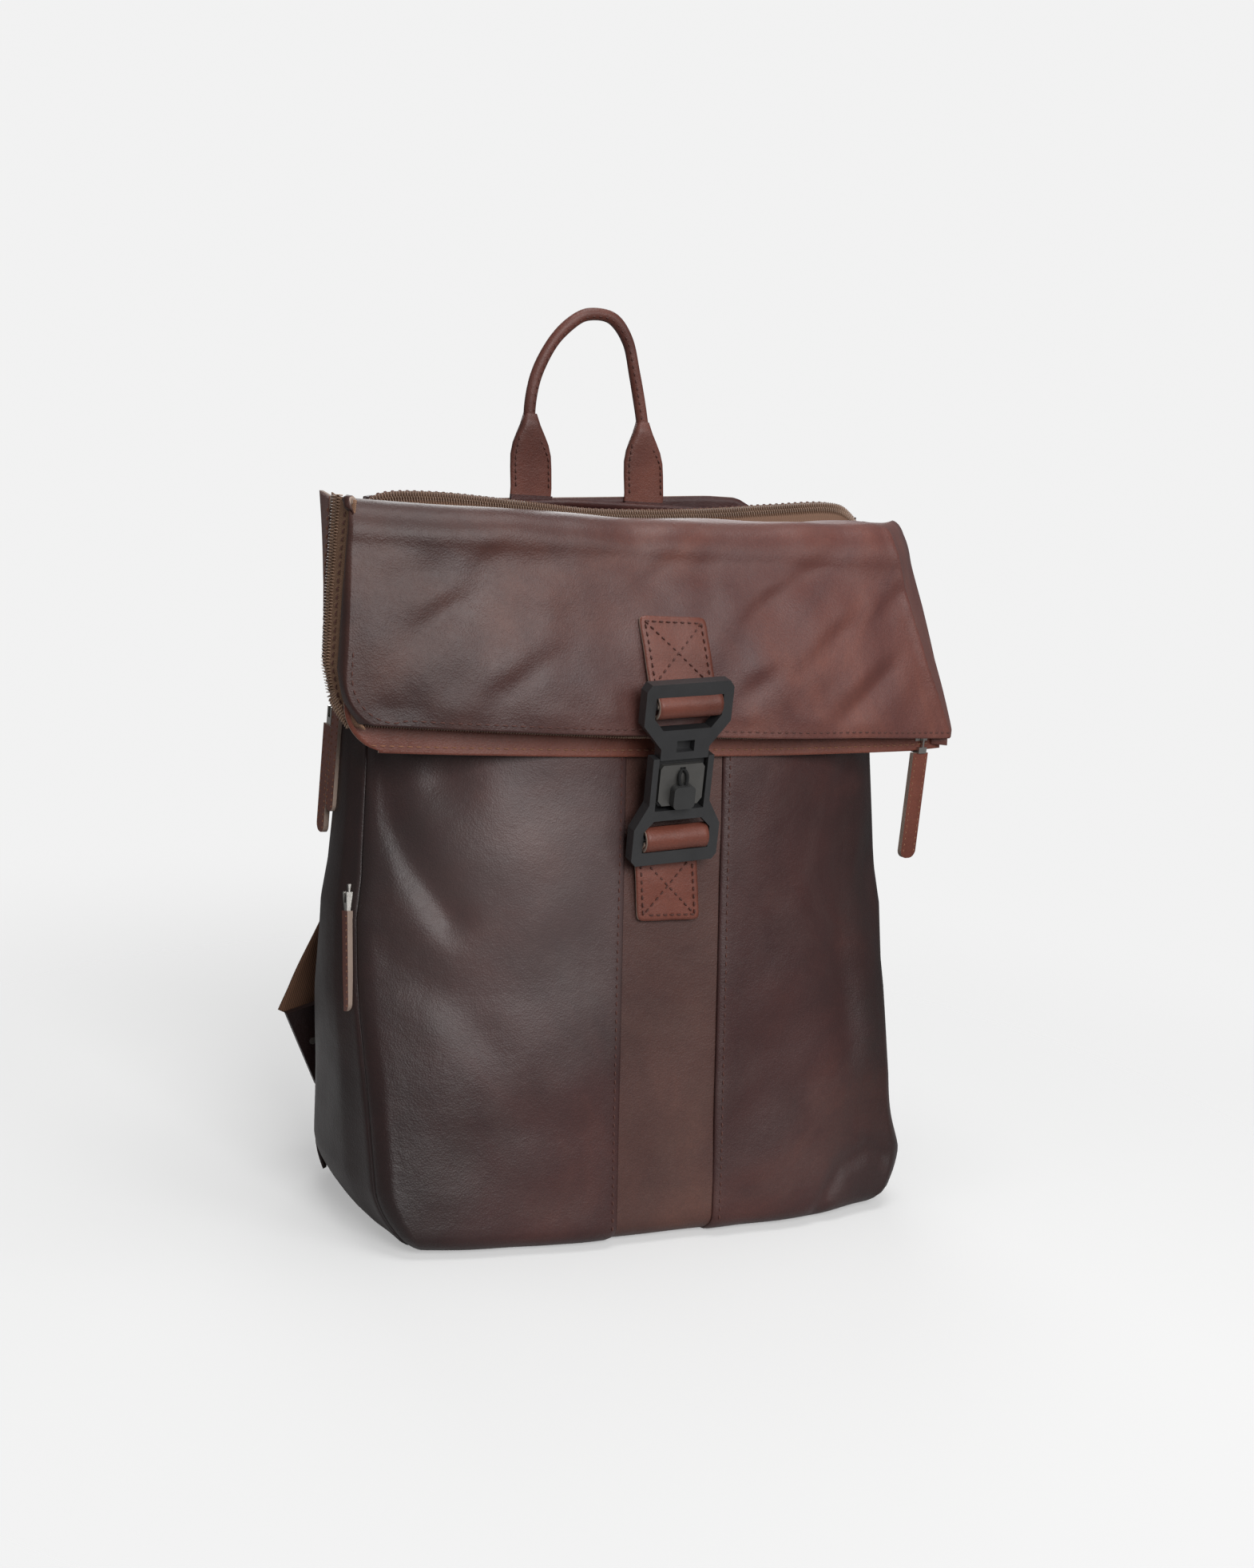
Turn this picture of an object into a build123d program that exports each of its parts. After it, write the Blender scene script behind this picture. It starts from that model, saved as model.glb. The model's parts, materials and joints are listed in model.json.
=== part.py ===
from build123d import *
import os
from math import atan, cos, degrees, radians, sin, tan

# Leather fold-top backpack, millimetres, +Z up, front faces -Y.
# Design frame: the front strip starts at X 0, the base is at Z 0.
# Every solid is moved back by Y_CENTRE on saving, so the origin is the base centre.

# Driving dimensions
Y_CENTRE = 31.0
LEATHER = 2.4
HALF_WIDTH = 150.0
STRIP_HALF = 28.0
BACK_Y = 82.0
WALL_TOP = 350.0
FOLD_Z = 371.0
FRONT_LEVELS = [0.0, 10.0, 130.0, 250.0, 350.0, 360.0]
EDGE_Y = [-44.0, -48.0, 0.0, 30.0, 45.0, 46.0]
STRIP_Y = [-56.0, -60.2, -39.1, -17.9, -0.3, 1.5]
BULGE_POWER = 2.2
STATIONS = [28.0, 60.0, 90.0, 115.0, 135.0, 150.0]
DIVIDER_Y = 52.0
BOARD_TOP = LEATHER + 2.5

HINGE_Y = -14.0
FLAP_HALF = 176.0
FLAP_FLAT_HALF = 40.0
OUTER_LIP_Z = 264.0
INNER_LIP_Z = 254.0
INNER_TOP_Z = 352.0

BUCKLE_X = -9.0
BUCKLE_Y = -41.0
BUCKLE_Z = 248.0
BUCKLE_TILT = 8.0
BUCKLE_LEAN = 4.5
UPPER_PATCH_X = -14.0
LOWER_PATCH_X = -3.0
BUCKLE_BAR_Z = 36.0
BUCKLE_THICK = 7.0

HANDLE_X = -15.0
HANDLE_LEG = 34.0
HANDLE_HINGE_Z = 374.0
HANDLE_Y = 83.5
HANDLE_TOP_Z = 470.0

STRAP_TOP = (45.0, 99.0, 312.0)
STRAP_LOW = (151.0, 89.0, 96.0)


def save(shape, name):
    export_step(Pos(0, -Y_CENTRE, 0) * shape, f"parts/{name}.step")


def block(x0, x1, y0, y1, z0, z1):
    centre = Pos((x0 + x1) / 2, (y0 + y1) / 2, (z0 + z1) / 2)
    return centre * Box(x1 - x0, y1 - y0, z1 - z0)


def plate_yz(points, x0, x1):
    face = make_face(Plane.YZ.offset(x0) * Polyline(*points, close=True))
    return extrude(face, x1 - x0, dir=(1, 0, 0))


def plate_xz(points, y0, y1):
    local = [Vector(x, y0, z) for x, z in points]
    face = make_face(Polyline(*local, close=True))
    return extrude(face, y1 - y0, dir=(0, 1, 0))


def plate_xy(points, z0, z1):
    local = [Vector(x, y, z0) for x, y in points]
    face = make_face(Polyline(*local, close=True))
    return extrude(face, z1 - z0, dir=(0, 0, 1))


def rod(start, end, radius):
    a, b = Vector(*start), Vector(*end)
    plane = Plane(origin=a, z_dir=(b - a).normalized())
    return extrude(plane * Circle(radius), (b - a).length)


def loft_along_x(sections):
    wires = [Wire.make_polygon([Vector(x, y, z) for y, z in pts]) for x, pts in sections]
    return Solid.make_loft(wires, ruled=True)


def front_y(x, level):
    share = max(0.0, (abs(x) - STRIP_HALF) / (HALF_WIDTH - STRIP_HALF))
    edge, strip = EDGE_Y[level], STRIP_Y[level]
    return strip + (edge - strip) * min(1.0, share) ** BULGE_POWER


# Body shell

def body_volume(inset, half, floor, back, levels):
    sections = []
    stations = [-s for s in reversed(STATIONS)] + STATIONS
    for x in stations:
        front = [(front_y(x, i) + inset, max(FRONT_LEVELS[i], floor)) for i in range(levels)]
        top = FRONT_LEVELS[levels - 1]
        pts = front + [(back, top), (back, floor)]
        sections.append((x * half / HALF_WIDTH, pts))
    return loft_along_x(sections)


def body_shell():
    outer = body_volume(0.0, HALF_WIDTH, 0.0, BACK_Y, 5)
    inner = body_volume(LEATHER * 1.05, HALF_WIDTH - LEATHER, LEATHER, BACK_Y - LEATHER, 6)
    return outer - inner


def build_body(shell):
    inner_half = HALF_WIDTH - LEATHER
    z0, z1 = LEATHER, WALL_TOP + 1
    save(shell & block(-STRIP_HALF, STRIP_HALF, -80, 60, z0, z1), "center_strip")
    save(shell & block(-inner_half, -STRIP_HALF, -80, 60, z0, z1), "front_panel_left")
    save(shell & block(STRIP_HALF, inner_half, -80, 60, z0, z1), "front_panel_right")
    save(shell & block(-inner_half, inner_half, -80, 100, -1, LEATHER), "base_panel")
    save(block(-inner_half, inner_half, BACK_Y - LEATHER, BACK_Y, LEATHER, 372), "back_panel")


def gusset_points():
    front = [(EDGE_Y[i], FRONT_LEVELS[i]) for i in range(5)]
    return front + [(14, FOLD_Z - LEATHER), (BACK_Y, FOLD_Z - LEATHER), (BACK_Y, 0)]


def build_gussets():
    left = plate_yz(gusset_points(), -HALF_WIDTH, -HALF_WIDTH + LEATHER)
    left -= block(-152, -146, 57, 73, 246, 362)
    left -= pocket_place(block(-3, 4, -4, 4, 4, 122))
    save(left, "gusset_left")
    right = plate_yz(gusset_points(), HALF_WIDTH - LEATHER, HALF_WIDTH)
    right -= block(146, 152, 57, 73, 246, 362)
    save(right, "gusset_right")


def build_inside():
    inner_half = HALF_WIDTH - LEATHER
    board = block(-138, 138, -38, BACK_Y - 6, LEATHER, BOARD_TOP)
    save(board, "base_board")
    outer = body_volume(3.4, 147.0, BOARD_TOP, DIVIDER_Y - 0.3, 5)
    inner = body_volume(4.2, 146.2, BOARD_TOP + 0.8, DIVIDER_Y - 1.1, 6)
    lining = (outer - inner) & block(-160, 160, -80, 90, 0, 345)
    save(lining, "main_lining")
    save(block(-inner_half, inner_half, DIVIDER_Y, DIVIDER_Y + 5, BOARD_TOP, 335), "laptop_divider")


def build_back_pads():
    pads = [block(18, 108, BACK_Y, BACK_Y + 7, 70, 296)]
    pads.append(block(-108, -18, BACK_Y, BACK_Y + 7, 70, 296))
    pads = [fillet(p.edges().filter_by(Axis.Y), 22) for p in pads]
    save(Compound(children=pads), "back_padding")


# Fold-over flap

def spread(x):
    return max(0.0, (abs(x) - FLAP_FLAT_HALF) / (FLAP_HALF - FLAP_FLAT_HALF))


def flap_sheet(y_top, z_top, grow_top, y_low, z_low, grow_low):
    sections = []
    for x in (-FLAP_HALF, -FLAP_FLAT_HALF, FLAP_FLAT_HALF, FLAP_HALF):
        top = y_top + grow_top * spread(x)
        low = y_low + grow_low * spread(x)
        pts = [(top, z_top), (low, z_low), (low + LEATHER, z_low), (top + LEATHER, z_top)]
        sections.append((x, pts))
    return loft_along_x(sections)


def build_flap():
    outer = flap_sheet(HINGE_Y, FOLD_Z, 23, -37.5, OUTER_LIP_Z, 20)
    wrap = [(9, 371), (17, 371), (9, 325), (0, 275), (-12, 264), (-17.5, 264)]
    outer += plate_yz(wrap, -FLAP_HALF - LEATHER, -FLAP_HALF)
    save(outer, "flap_outer")
    save(flap_sheet(-6.4, INNER_TOP_Z, 29, -23.4, INNER_LIP_Z, 29), "flap_inner")
    rear = [(39, 371), (72, 364), (50, 352), (9, 254), (5.6, 254), (10, 264), (16, 275), (30, 325)]
    save(plate_yz(rear, -FLAP_HALF - LEATHER, -FLAP_HALF), "flap_gusset_left")
    right = [(9, 371), (72, 364), (50, 352), (9, 254), (5.6, 254), (-12, 266), (-17.5, 264)]
    save(plate_yz(right, FLAP_HALF, FLAP_HALF + LEATHER), "flap_gusset_right")


def build_top_cap():
    edge = [(x, HINGE_Y + 2.8 + 23 * spread(x)) for x in (-175, -40, 40, 175)]
    save(plate_xy(edge + [(175, 51.5), (-175, 51.5)], FOLD_Z - LEATHER, FOLD_Z), "top_cap")


# Zips

def zip_slider(chain_half, chain_high, lug):
    # Saddle over the chain, travel along Z, outer face towards -X, chain base at X 0.
    width = chain_half + 1.6
    body = block(-chain_high - 2.2, -0.4, -width, width, -6, 6)
    body = chamfer(body.faces().sort_by(Axis.X)[0].edges().filter_by(Axis.Z), 1.0)
    body -= block(-chain_high - 0.5, 1, -chain_half - 0.5, chain_half + 0.5, -7, 7)
    outer = -chain_high - 2.2
    arch = block(outer - lug, outer, -1.2, 1.2, -4.5, 4.5)
    arch -= block(outer - lug + 1.5, outer, -2, 2, -2.6, 2.6)
    return body + arch


def pin_reach(chain_high, lug):
    return -chain_high - 2.2 - lug + 2.25


def zip_pull(chain_high, lug, length, shift=0.0):
    # Link with a pin through the slider's arch and a leather strip hanging below it,
    # moved sideways by the shift so that two pulls can hang beside each other.
    pin = pin_reach(chain_high, lug)
    link = rod((pin, -3.2, 0), (pin, 3.2, 0), 0.3)
    for side in (1.6, -3.2):
        link += block(pin - 3.9, pin + 0.3, side, side + 1.6, -9, 0.55)
    link += block(pin - 3.9, pin - 2.5, min(-3.2, shift), 3.2, -9, -5)
    strip = block(pin - 4.6, pin - 1.7, shift - 5.5, shift + 5.5, -length, -9)
    tip = strip.faces().sort_by(Axis.Z)[0].edges().filter_by(Axis.X)
    return link, fillet(tip, 4.5)


def laptop_place(z):
    return Pos(-HALF_WIDTH - 1.0, 65.0, z)


def build_laptop_zip():
    tape = block(-HALF_WIDTH - 1, HALF_WIDTH + 1, 54, BACK_Y - LEATHER, 368.8, 369.8)
    for side in (-1, 1):
        inner, outer = side * HALF_WIDTH, side * (HALF_WIDTH + 1)
        tape += block(min(inner, outer), max(inner, outer), 54, 76, 240, 369.8)
    save(tape, "laptop_zip_tape")
    teeth = block(-153.2, 153.2, 62.5, 67.5, 369.8, 372)
    teeth += block(-153.2, -151, 62.5, 67.5, 244, 370)
    teeth += block(151, 153.2, 62.5, 67.5, 244, 370)
    save(teeth, "laptop_zip_teeth")
    for name, z, length, shift in (("lower", 258, 66, 0.0), ("upper", 286, 80, -11.6)):
        save(laptop_place(z) * zip_slider(2.5, 2.2, 3.0), f"laptop_slider_{name}")
        link, strip = zip_pull(2.2, 3.0, length, shift)
        save(laptop_place(z) * link, f"laptop_link_{name}")
        save(laptop_place(z) * strip, f"laptop_pull_{name}")


def pocket_place(shape):
    lean = degrees(atan(30 / 120))
    return Pos(-HALF_WIDTH, 11, 128) * Rot(-lean, 0, 0) * shape


def build_pocket_zip():
    save(pocket_place(block(-1, 0, -9, 9, 0, 126)), "pocket_zip_tape")
    save(pocket_place(block(-3.2, -1, -2.5, 2.5, 3, 124)), "pocket_zip_teeth")
    shift = Pos(-1, 0, 44)
    save(pocket_place(shift * zip_slider(2.5, 2.2, 3.0)), "pocket_slider")
    link, strip = zip_pull(2.2, 3.0, 60)
    save(pocket_place(shift * link), "pocket_link")
    save(pocket_place(shift * strip), "pocket_pull")


MOUTH_SLOPE = degrees(atan(24.5 / (FLAP_HALF - FLAP_FLAT_HALF)))
MOUTH_Z = 265.4


def mouth_y(x):
    return -30.25 + 24.5 * spread(x)


def mouth_strip(half, z0, z1, x_end):
    xs = [-x_end, -FLAP_FLAT_HALF, FLAP_FLAT_HALF, x_end]
    front = [(x, mouth_y(x) - half) for x in xs]
    rear = [(x, mouth_y(x) + half) for x in reversed(xs)]
    return plate_xy(front + rear, z0, z1)


def build_mouth_zip():
    tape = mouth_strip(4.2, MOUTH_Z, MOUTH_Z + 1, FLAP_HALF)
    side = [(17, 371), (39, 371), (30, 325), (16, 275), (10, 264), (-12, 264), (0, 275), (9, 325)]
    tape += plate_yz(side, -FLAP_HALF - 1.4, -FLAP_HALF)
    save(tape, "mouth_zip_tape")
    teeth = mouth_strip(2.5, MOUTH_Z - 2.2, MOUTH_Z, 170)
    path = [(25.5, 370), (30.5, 370), (21.5, 325), (10.5, 277), (4, 266), (-1, 268), (5.5, 277), (16.5, 325)]
    teeth += plate_yz(path, -FLAP_HALF - 3.6, -FLAP_HALF - 1.4)
    teeth += block(-FLAP_HALF - 3.6, -FLAP_HALF - 2.5, -2, 4, 262, 268)
    teeth += block(-FLAP_HALF - 3.6, -168, -8, 4, 262, 263.8)
    save(teeth, "mouth_zip_teeth")
    start = 157.0
    base = Pos(start, mouth_y(start), MOUTH_Z) * Rot(0, 0, MOUTH_SLOPE)
    lying = base * Rot(0, -90, 0)
    save(lying * zip_slider(2.5, 2.2, 3.0), "mouth_slider")
    pin = pin_reach(2.2, 3.0)
    link = rod((0, -3.2, pin), (0, 3.2, pin), 0.3)
    for side in (1.6, -3.2):
        link += block(-0.55, 0.55, side, side + 1.6, pin - 9, pin + 0.3)
    link += block(-2.9, 2.9, -3.2, 3.2, pin - 9, pin - 5.6)
    save(base * link, "mouth_link")
    strip = block(-5.5, 5.5, -2.0, 0.8, pin - 69, pin - 9)
    tip = strip.faces().sort_by(Axis.Z)[0].edges().filter_by(Axis.Y)
    save(base * fillet(tip, 4.5), "mouth_pull")


# Buckle, drawn in its own frame: X across, Z up, front -Y, origin at its middle

def buckle_place(shape):
    turn = Rot(0, -BUCKLE_LEAN, 0) * Rot(BUCKLE_TILT, 0, 0)
    return Pos(BUCKLE_X, BUCKLE_Y, BUCKLE_Z) * turn * shape


def mirrored(points):
    return points + [(-x, z) for x, z in reversed(points)]


def upper_frame():
    half = BUCKLE_THICK / 2
    outline = [(22, 48.5), (24.5, 45), (24.5, 27), (13.6, 14), (13.6, 8)]
    frame = plate_xz(mirrored(outline), -half, half)
    window = [(18.9, 41.5), (18.9, 30.5), (13.5, 24)]
    frame -= plate_xz(mirrored(window), -half - 1, half + 1)
    frame -= block(-5, 5, -half - 1, 1, 12, 18)
    frame += plate_xz(mirrored([(13.2, 9), (13.2, -14), (10.5, -18)]), -0.2, 1.8)
    frame += rod((-19.5, 0, BUCKLE_BAR_Z), (19.5, 0, BUCKLE_BAR_Z), 2.0)
    frame -= rod((0, -0.2, -8), (0, 1.0, -8), 4.0)
    return frame


def lower_frame():
    half = BUCKLE_THICK / 2
    outline = [(17.2, 9), (17.2, -16), (24.5, -29), (24.5, -46), (22, -49)]
    frame = plate_xz(mirrored(outline), -half, half)
    frame -= block(-13.9, 13.9, -half - 1, 2.2, -19.5, 12)
    frame -= block(-13.9, 13.9, -half - 1, half + 1, 0, 12)
    window = [(13.5, -25), (18.9, -30.5), (18.9, -42)]
    frame -= plate_xz(mirrored(window), -half - 1, half + 1)
    frame += rod((-19.5, 0, -BUCKLE_BAR_Z), (19.5, 0, -BUCKLE_BAR_Z), 2.0)
    frame -= rod((0, 2.2, -8), (0, 3.0, -8), 4.0)
    return frame


def build_buckle():
    save(buckle_place(upper_frame()), "buckle_upper_frame")
    save(buckle_place(lower_frame()), "buckle_lower_frame")
    plate = plate_xz(mirrored([(11, 5), (12.5, 3), (12.5, -14), (10, -17)]), -3.2, -0.5)
    plate -= block(-1.6, 1.6, -4, 0, 0.5, 3.5)
    save(buckle_place(plate), "buckle_release_plate")
    save(buckle_place(rod((0, -0.2, -8), (0, 1.0, -8), 4.0)), "buckle_upper_magnet")
    save(buckle_place(rod((0, 2.2, -8), (0, 3.0, -8), 4.0)), "buckle_lower_magnet")
    cord = block(-1.1, 1.1, -5.2, -3.5, -5.5, 3.0)
    cord += block(-1.1, 1.1, -3.5, -2.2, 1.2, 2.8)
    save(buckle_place(cord), "buckle_release_cord")
    tab = block(-6, 6, -8.2, -3.7, -17.5, -5.5)
    tab = fillet(tab.edges().filter_by(Axis.Y), 2.5)
    save(buckle_place(tab), "buckle_release_tab")


def loop_roll(z):
    tube = rod((-17.8, 0, z), (17.8, 0, z), 4.4)
    return tube - rod((-19, 0, z), (19, 0, z), 2.3)


def tail_place(bar_z, shape):
    x = BUCKLE_X - bar_z * sin(radians(BUCKLE_LEAN))
    z = BUCKLE_Z + bar_z * cos(radians(BUCKLE_TILT)) * cos(radians(BUCKLE_LEAN))
    return Pos(x, 0, z) * Rot(0, -BUCKLE_LEAN, 0) * Pos(0, 0, -z) * shape


def build_loops():
    slope_flap = degrees(atan((37.5 + HINGE_Y) / (FOLD_Z - OUTER_LIP_Z)))
    flap_place = Pos(UPPER_PATCH_X, HINGE_Y - 0.3, FOLD_Z) * Rot(-slope_flap, 0, 0)
    save(flap_place * block(-19, 19, -LEATHER, 0, -84, -48), "upper_patch")
    roll = buckle_place(loop_roll(BUCKLE_BAR_Z))
    tail = [(-43.6, 284.6), (-37.6, 285.4), (-35.6, 284.8), (-34.2, 284.8), (-35.1, 281), (-43.6, 281.6)]
    tail = tail_place(BUCKLE_BAR_Z, plate_yz(tail, -17.8, 17.8))
    save(roll + tail - buckle_place(upper_keepout()), "upper_leather_loop")
    strip_place = Pos(LOWER_PATCH_X, STRIP_Y[1] - 0.3, 10) * Rot(-10, 0, 0)
    save(strip_place * block(-18, 18, -LEATHER, 0, 160, 196), "lower_patch")
    roll = buckle_place(loop_roll(-BUCKLE_BAR_Z))
    tail = [(-34, 213.8), (-25.5, 213), (-26.6, 207.2), (-28.8, 207.4), (-28.3, 209.5), (-34, 211)]
    tail = tail_place(-BUCKLE_BAR_Z, plate_yz(tail, -17.8, 17.8))
    save(roll + tail - buckle_place(lower_keepout()), "lower_leather_loop")


def upper_keepout():
    bore = rod((-19, 0, BUCKLE_BAR_Z), (19, 0, BUCKLE_BAR_Z), 2.3)
    return bore + block(-20, 20, -4, 4.0, 41, 50)


def lower_keepout():
    bore = rod((-19, 0, -BUCKLE_BAR_Z), (19, 0, -BUCKLE_BAR_Z), 2.3)
    return bore + block(-20, 20, -4, 4.0, -50, -41)


# Handle

def build_handle():
    ends = []
    legs = []
    for side in (-1, 1):
        x = HANDLE_X + side * HANDLE_LEG
        ends.append(block(x - 12, x + 12, BACK_Y, BACK_Y + LEATHER, 334, 371.8))
        y0, y1 = HANDLE_Y - 1.5, HANDLE_Y + 1.5
        low, high = HANDLE_HINGE_Z + 0.5, 416
        flare = [(x - 12, low), (x + 12, low), (x + 11, 395), (x + 3, high), (x - 3, high), (x - 11, 395)]
        legs.append(plate_xz(flare, y0, y1))
    save(Compound(children=ends), "handle_ends")
    save(Compound(children=legs), "handle_flares")
    path = Spline(
        (HANDLE_X - HANDLE_LEG, HANDLE_Y, 416),
        (HANDLE_X - 24, HANDLE_Y, 452),
        (HANDLE_X, HANDLE_Y, HANDLE_TOP_Z),
        (HANDLE_X + 24, HANDLE_Y, 452),
        (HANDLE_X + HANDLE_LEG, HANDLE_Y, 416),
        tangents=[(0.1, 0, 1), (0.1, 0, -1)],
    )
    profile = Plane(origin=path @ 0, z_dir=path % 0)
    tube = sweep(profile * (Circle(3.0) - Circle(1.6)), path=path)
    save(tube, "handle_grip")
    save(sweep(profile * Circle(1.6), path=path), "handle_core")


# Shoulder straps, drawn upright at X 0 and leaned out to the side

def strap_place(side, shape):
    low = Vector(side * STRAP_LOW[0], STRAP_LOW[1], STRAP_LOW[2])
    up = (Vector(side * STRAP_TOP[0], STRAP_TOP[1], STRAP_TOP[2]) - low).normalized()
    across = Vector(0, 1, 0).cross(up).normalized()
    return Plane(origin=low, x_dir=across, z_dir=up).location * shape


STRAP_LONG = (Vector(*STRAP_TOP) - Vector(*STRAP_LOW)).length


def ribbon(points, thick, half_width):
    rear = [(y + thick, z) for y, z in reversed(points)]
    return plate_yz(points + rear, -half_width, half_width)


def build_straps():
    top = STRAP_LONG
    pad_line = [(11, 92), (15, 125), (13, 180), (0, top - 2)]
    web_line = [(0.6, 7), (3, 40), (9, 80), (11.6, 100)]
    stubs = []
    for side, name in ((-1, "left"), (1, "right")):
        pad = ribbon(pad_line, 8, 27)
        face = ribbon([(y + 8, z) for y, z in pad_line], LEATHER, 27)
        web = ribbon(web_line, 1.6, 12.5) - ribbon(pad_line, 8, 30)
        save(strap_place(side, pad), f"strap_padding_{name}")
        save(strap_place(side, face), f"strap_leather_{name}")
        save(strap_place(side, web), f"strap_webbing_{name}")
        ring = Pos(0, 6.4, 62) * Rot(-8.5, 0, 0) * adjuster()
        save(strap_place(side, ring), f"strap_adjuster_{name}")
        stub = block(-27, 27, -20, 10, top, top + 12)
        stubs.append(strap_place(side, stub) - block(-200, 200, 0, BACK_Y + 2 * LEATHER, 0, 500))
    yoke = block(HANDLE_X - 76, HANDLE_X + 106, BACK_Y + LEATHER, BACK_Y + 2 * LEATHER, 300, 371.5)
    for stub in stubs:
        yoke += stub
    save(yoke, "strap_yoke")


def build_anchors():
    tabs, screws = [], []
    for side in (-1, 1):
        low = [(132, 48), (146, 44), (166, 86), (140, 94), (130, 66)]
        tab = plate_xz([(side * a, z) for a, z in low], BACK_Y, BACK_Y + 4.5)
        bolt = rod((side * 150, BACK_Y, 70), (side * 150, BACK_Y + 4.5, 70), 2.0)
        tabs.append(tab - bolt)
        screws.append(bolt + rod((side * 150, BACK_Y + 4.5, 70), (side * 150, BACK_Y + 6, 70), 4.5))
    save(Compound(children=tabs), "lower_tabs")
    save(Compound(children=screws), "tab_screws")


def adjuster():
    frame = block(-16, 16, -1.2, 3.0, -11, 11)
    frame -= block(-13.2, 13.2, -0.6, 2.4, -12, 12)
    return frame


def main():
    os.makedirs("parts", exist_ok=True)
    build_body(body_shell())
    build_gussets()
    build_inside()
    build_back_pads()
    build_flap()
    build_top_cap()
    build_laptop_zip()
    build_pocket_zip()
    build_mouth_zip()
    build_buckle()
    build_loops()
    build_handle()
    build_straps()
    build_anchors()


main()
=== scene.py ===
import json
from math import atan, copysign, cos, exp, hypot, pi, radians, sin, sqrt

import bpy
import numpy as np
from mathutils import Matrix, Vector, noise


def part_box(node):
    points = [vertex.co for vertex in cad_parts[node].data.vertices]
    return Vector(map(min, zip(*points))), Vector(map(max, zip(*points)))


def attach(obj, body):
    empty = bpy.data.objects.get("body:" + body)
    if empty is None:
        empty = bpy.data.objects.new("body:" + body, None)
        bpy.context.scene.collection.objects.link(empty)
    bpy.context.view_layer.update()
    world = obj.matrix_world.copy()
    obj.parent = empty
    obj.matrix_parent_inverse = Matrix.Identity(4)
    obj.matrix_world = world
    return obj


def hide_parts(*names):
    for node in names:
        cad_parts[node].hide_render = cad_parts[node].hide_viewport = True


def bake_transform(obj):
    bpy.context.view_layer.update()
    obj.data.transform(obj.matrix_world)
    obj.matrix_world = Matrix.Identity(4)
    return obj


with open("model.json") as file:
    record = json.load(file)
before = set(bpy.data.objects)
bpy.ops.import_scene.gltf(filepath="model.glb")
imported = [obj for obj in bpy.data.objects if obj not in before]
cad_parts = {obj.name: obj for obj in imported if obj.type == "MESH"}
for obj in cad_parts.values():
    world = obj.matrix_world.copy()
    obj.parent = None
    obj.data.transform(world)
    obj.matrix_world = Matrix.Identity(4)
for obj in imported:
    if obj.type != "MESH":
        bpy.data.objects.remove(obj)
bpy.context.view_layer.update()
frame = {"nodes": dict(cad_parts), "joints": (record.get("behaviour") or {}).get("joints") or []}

MM = 0.001
# Design coordinates are in mm, with the back panel's outer face at y 82.
# The frame's origin is the middle of the base.
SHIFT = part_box("back_panel")[1].y - 0.082
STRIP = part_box("center_strip")[1].x / MM
HINGE_Y = -14.0
FOLD_R = 17.0
FLAP_TOP = 354.0
PAD_VOXEL = 4.5


def to_frame(p):
    """Design millimetres to frame metres, for one point or an array of points."""
    p = np.asarray(p, float) * MM
    p[..., 1] += SHIFT
    return p


def level(at, places, values):
    return float(np.interp(at, places, values))


# ---- materials

def new_material(name):
    mat = bpy.data.materials.new(name)
    mat.use_nodes = True
    tree = mat.node_tree
    tree.nodes.clear()
    out = tree.nodes.new("ShaderNodeOutputMaterial")
    bsdf = tree.nodes.new("ShaderNodeBsdfPrincipled")
    tree.links.new(bsdf.outputs[0], out.inputs[0])
    return mat, tree, bsdf


def feed(tree, node, inputs):
    """Links the sockets among the inputs, and sets the other values."""
    for key, value in inputs.items():
        if isinstance(value, bpy.types.NodeSocket):
            tree.links.new(value, node.inputs[key])
        else:
            node.inputs[key].default_value = value
    return node


def add(tree, kind, inputs=None, **props):
    node = tree.nodes.new(kind)
    for key, value in props.items():
        setattr(node, key, value)
    return feed(tree, node, inputs or {})


def calc(tree, operation, *values):
    return add(tree, "ShaderNodeMath", dict(enumerate(values)), operation=operation).outputs[0]


def remap(tree, value, low, high, start=0.0, end=1.0, interpolation="LINEAR"):
    inputs = {0: value, "From Min": start, "From Max": end, "To Min": low, "To Max": high}
    return add(tree, "ShaderNodeMapRange", inputs, interpolation_type=interpolation).outputs[0]


def ramp(tree, source, stops):
    node = add(tree, "ShaderNodeValToRGB", {0: source})
    elements = node.color_ramp.elements
    while len(elements) < len(stops):
        elements.new(0.5)
    for element, (place, colour) in zip(elements, stops):
        element.position = place
        element.color = (*colour, 1.0)
    return node.outputs[0]


def mixed(tree, factor, a, b, blend="MIX"):
    a, b = ((*v, 1.0) if isinstance(v, tuple) else v for v in (a, b))
    return add(tree, "ShaderNodeMix", {0: factor, 6: a, 7: b}, data_type="RGBA", blend_type=blend).outputs[2]


def noise_tex(tree, coords, scale, detail=4.0, rough=0.55, distortion=0.0):
    inputs = {"Vector": coords, "Scale": scale, "Detail": detail, "Roughness": rough,
              "Distortion": distortion}
    return add(tree, "ShaderNodeTexNoise", inputs).outputs[0]


def bump(tree, height, strength, distance, under=None):
    inputs = {"Strength": strength, "Distance": distance, "Height": height}
    if under is not None:
        inputs["Normal"] = under
    return add(tree, "ShaderNodeBump", inputs).outputs[0]


def shaded(colour, share):
    return tuple(c * share for c in colour)


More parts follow.
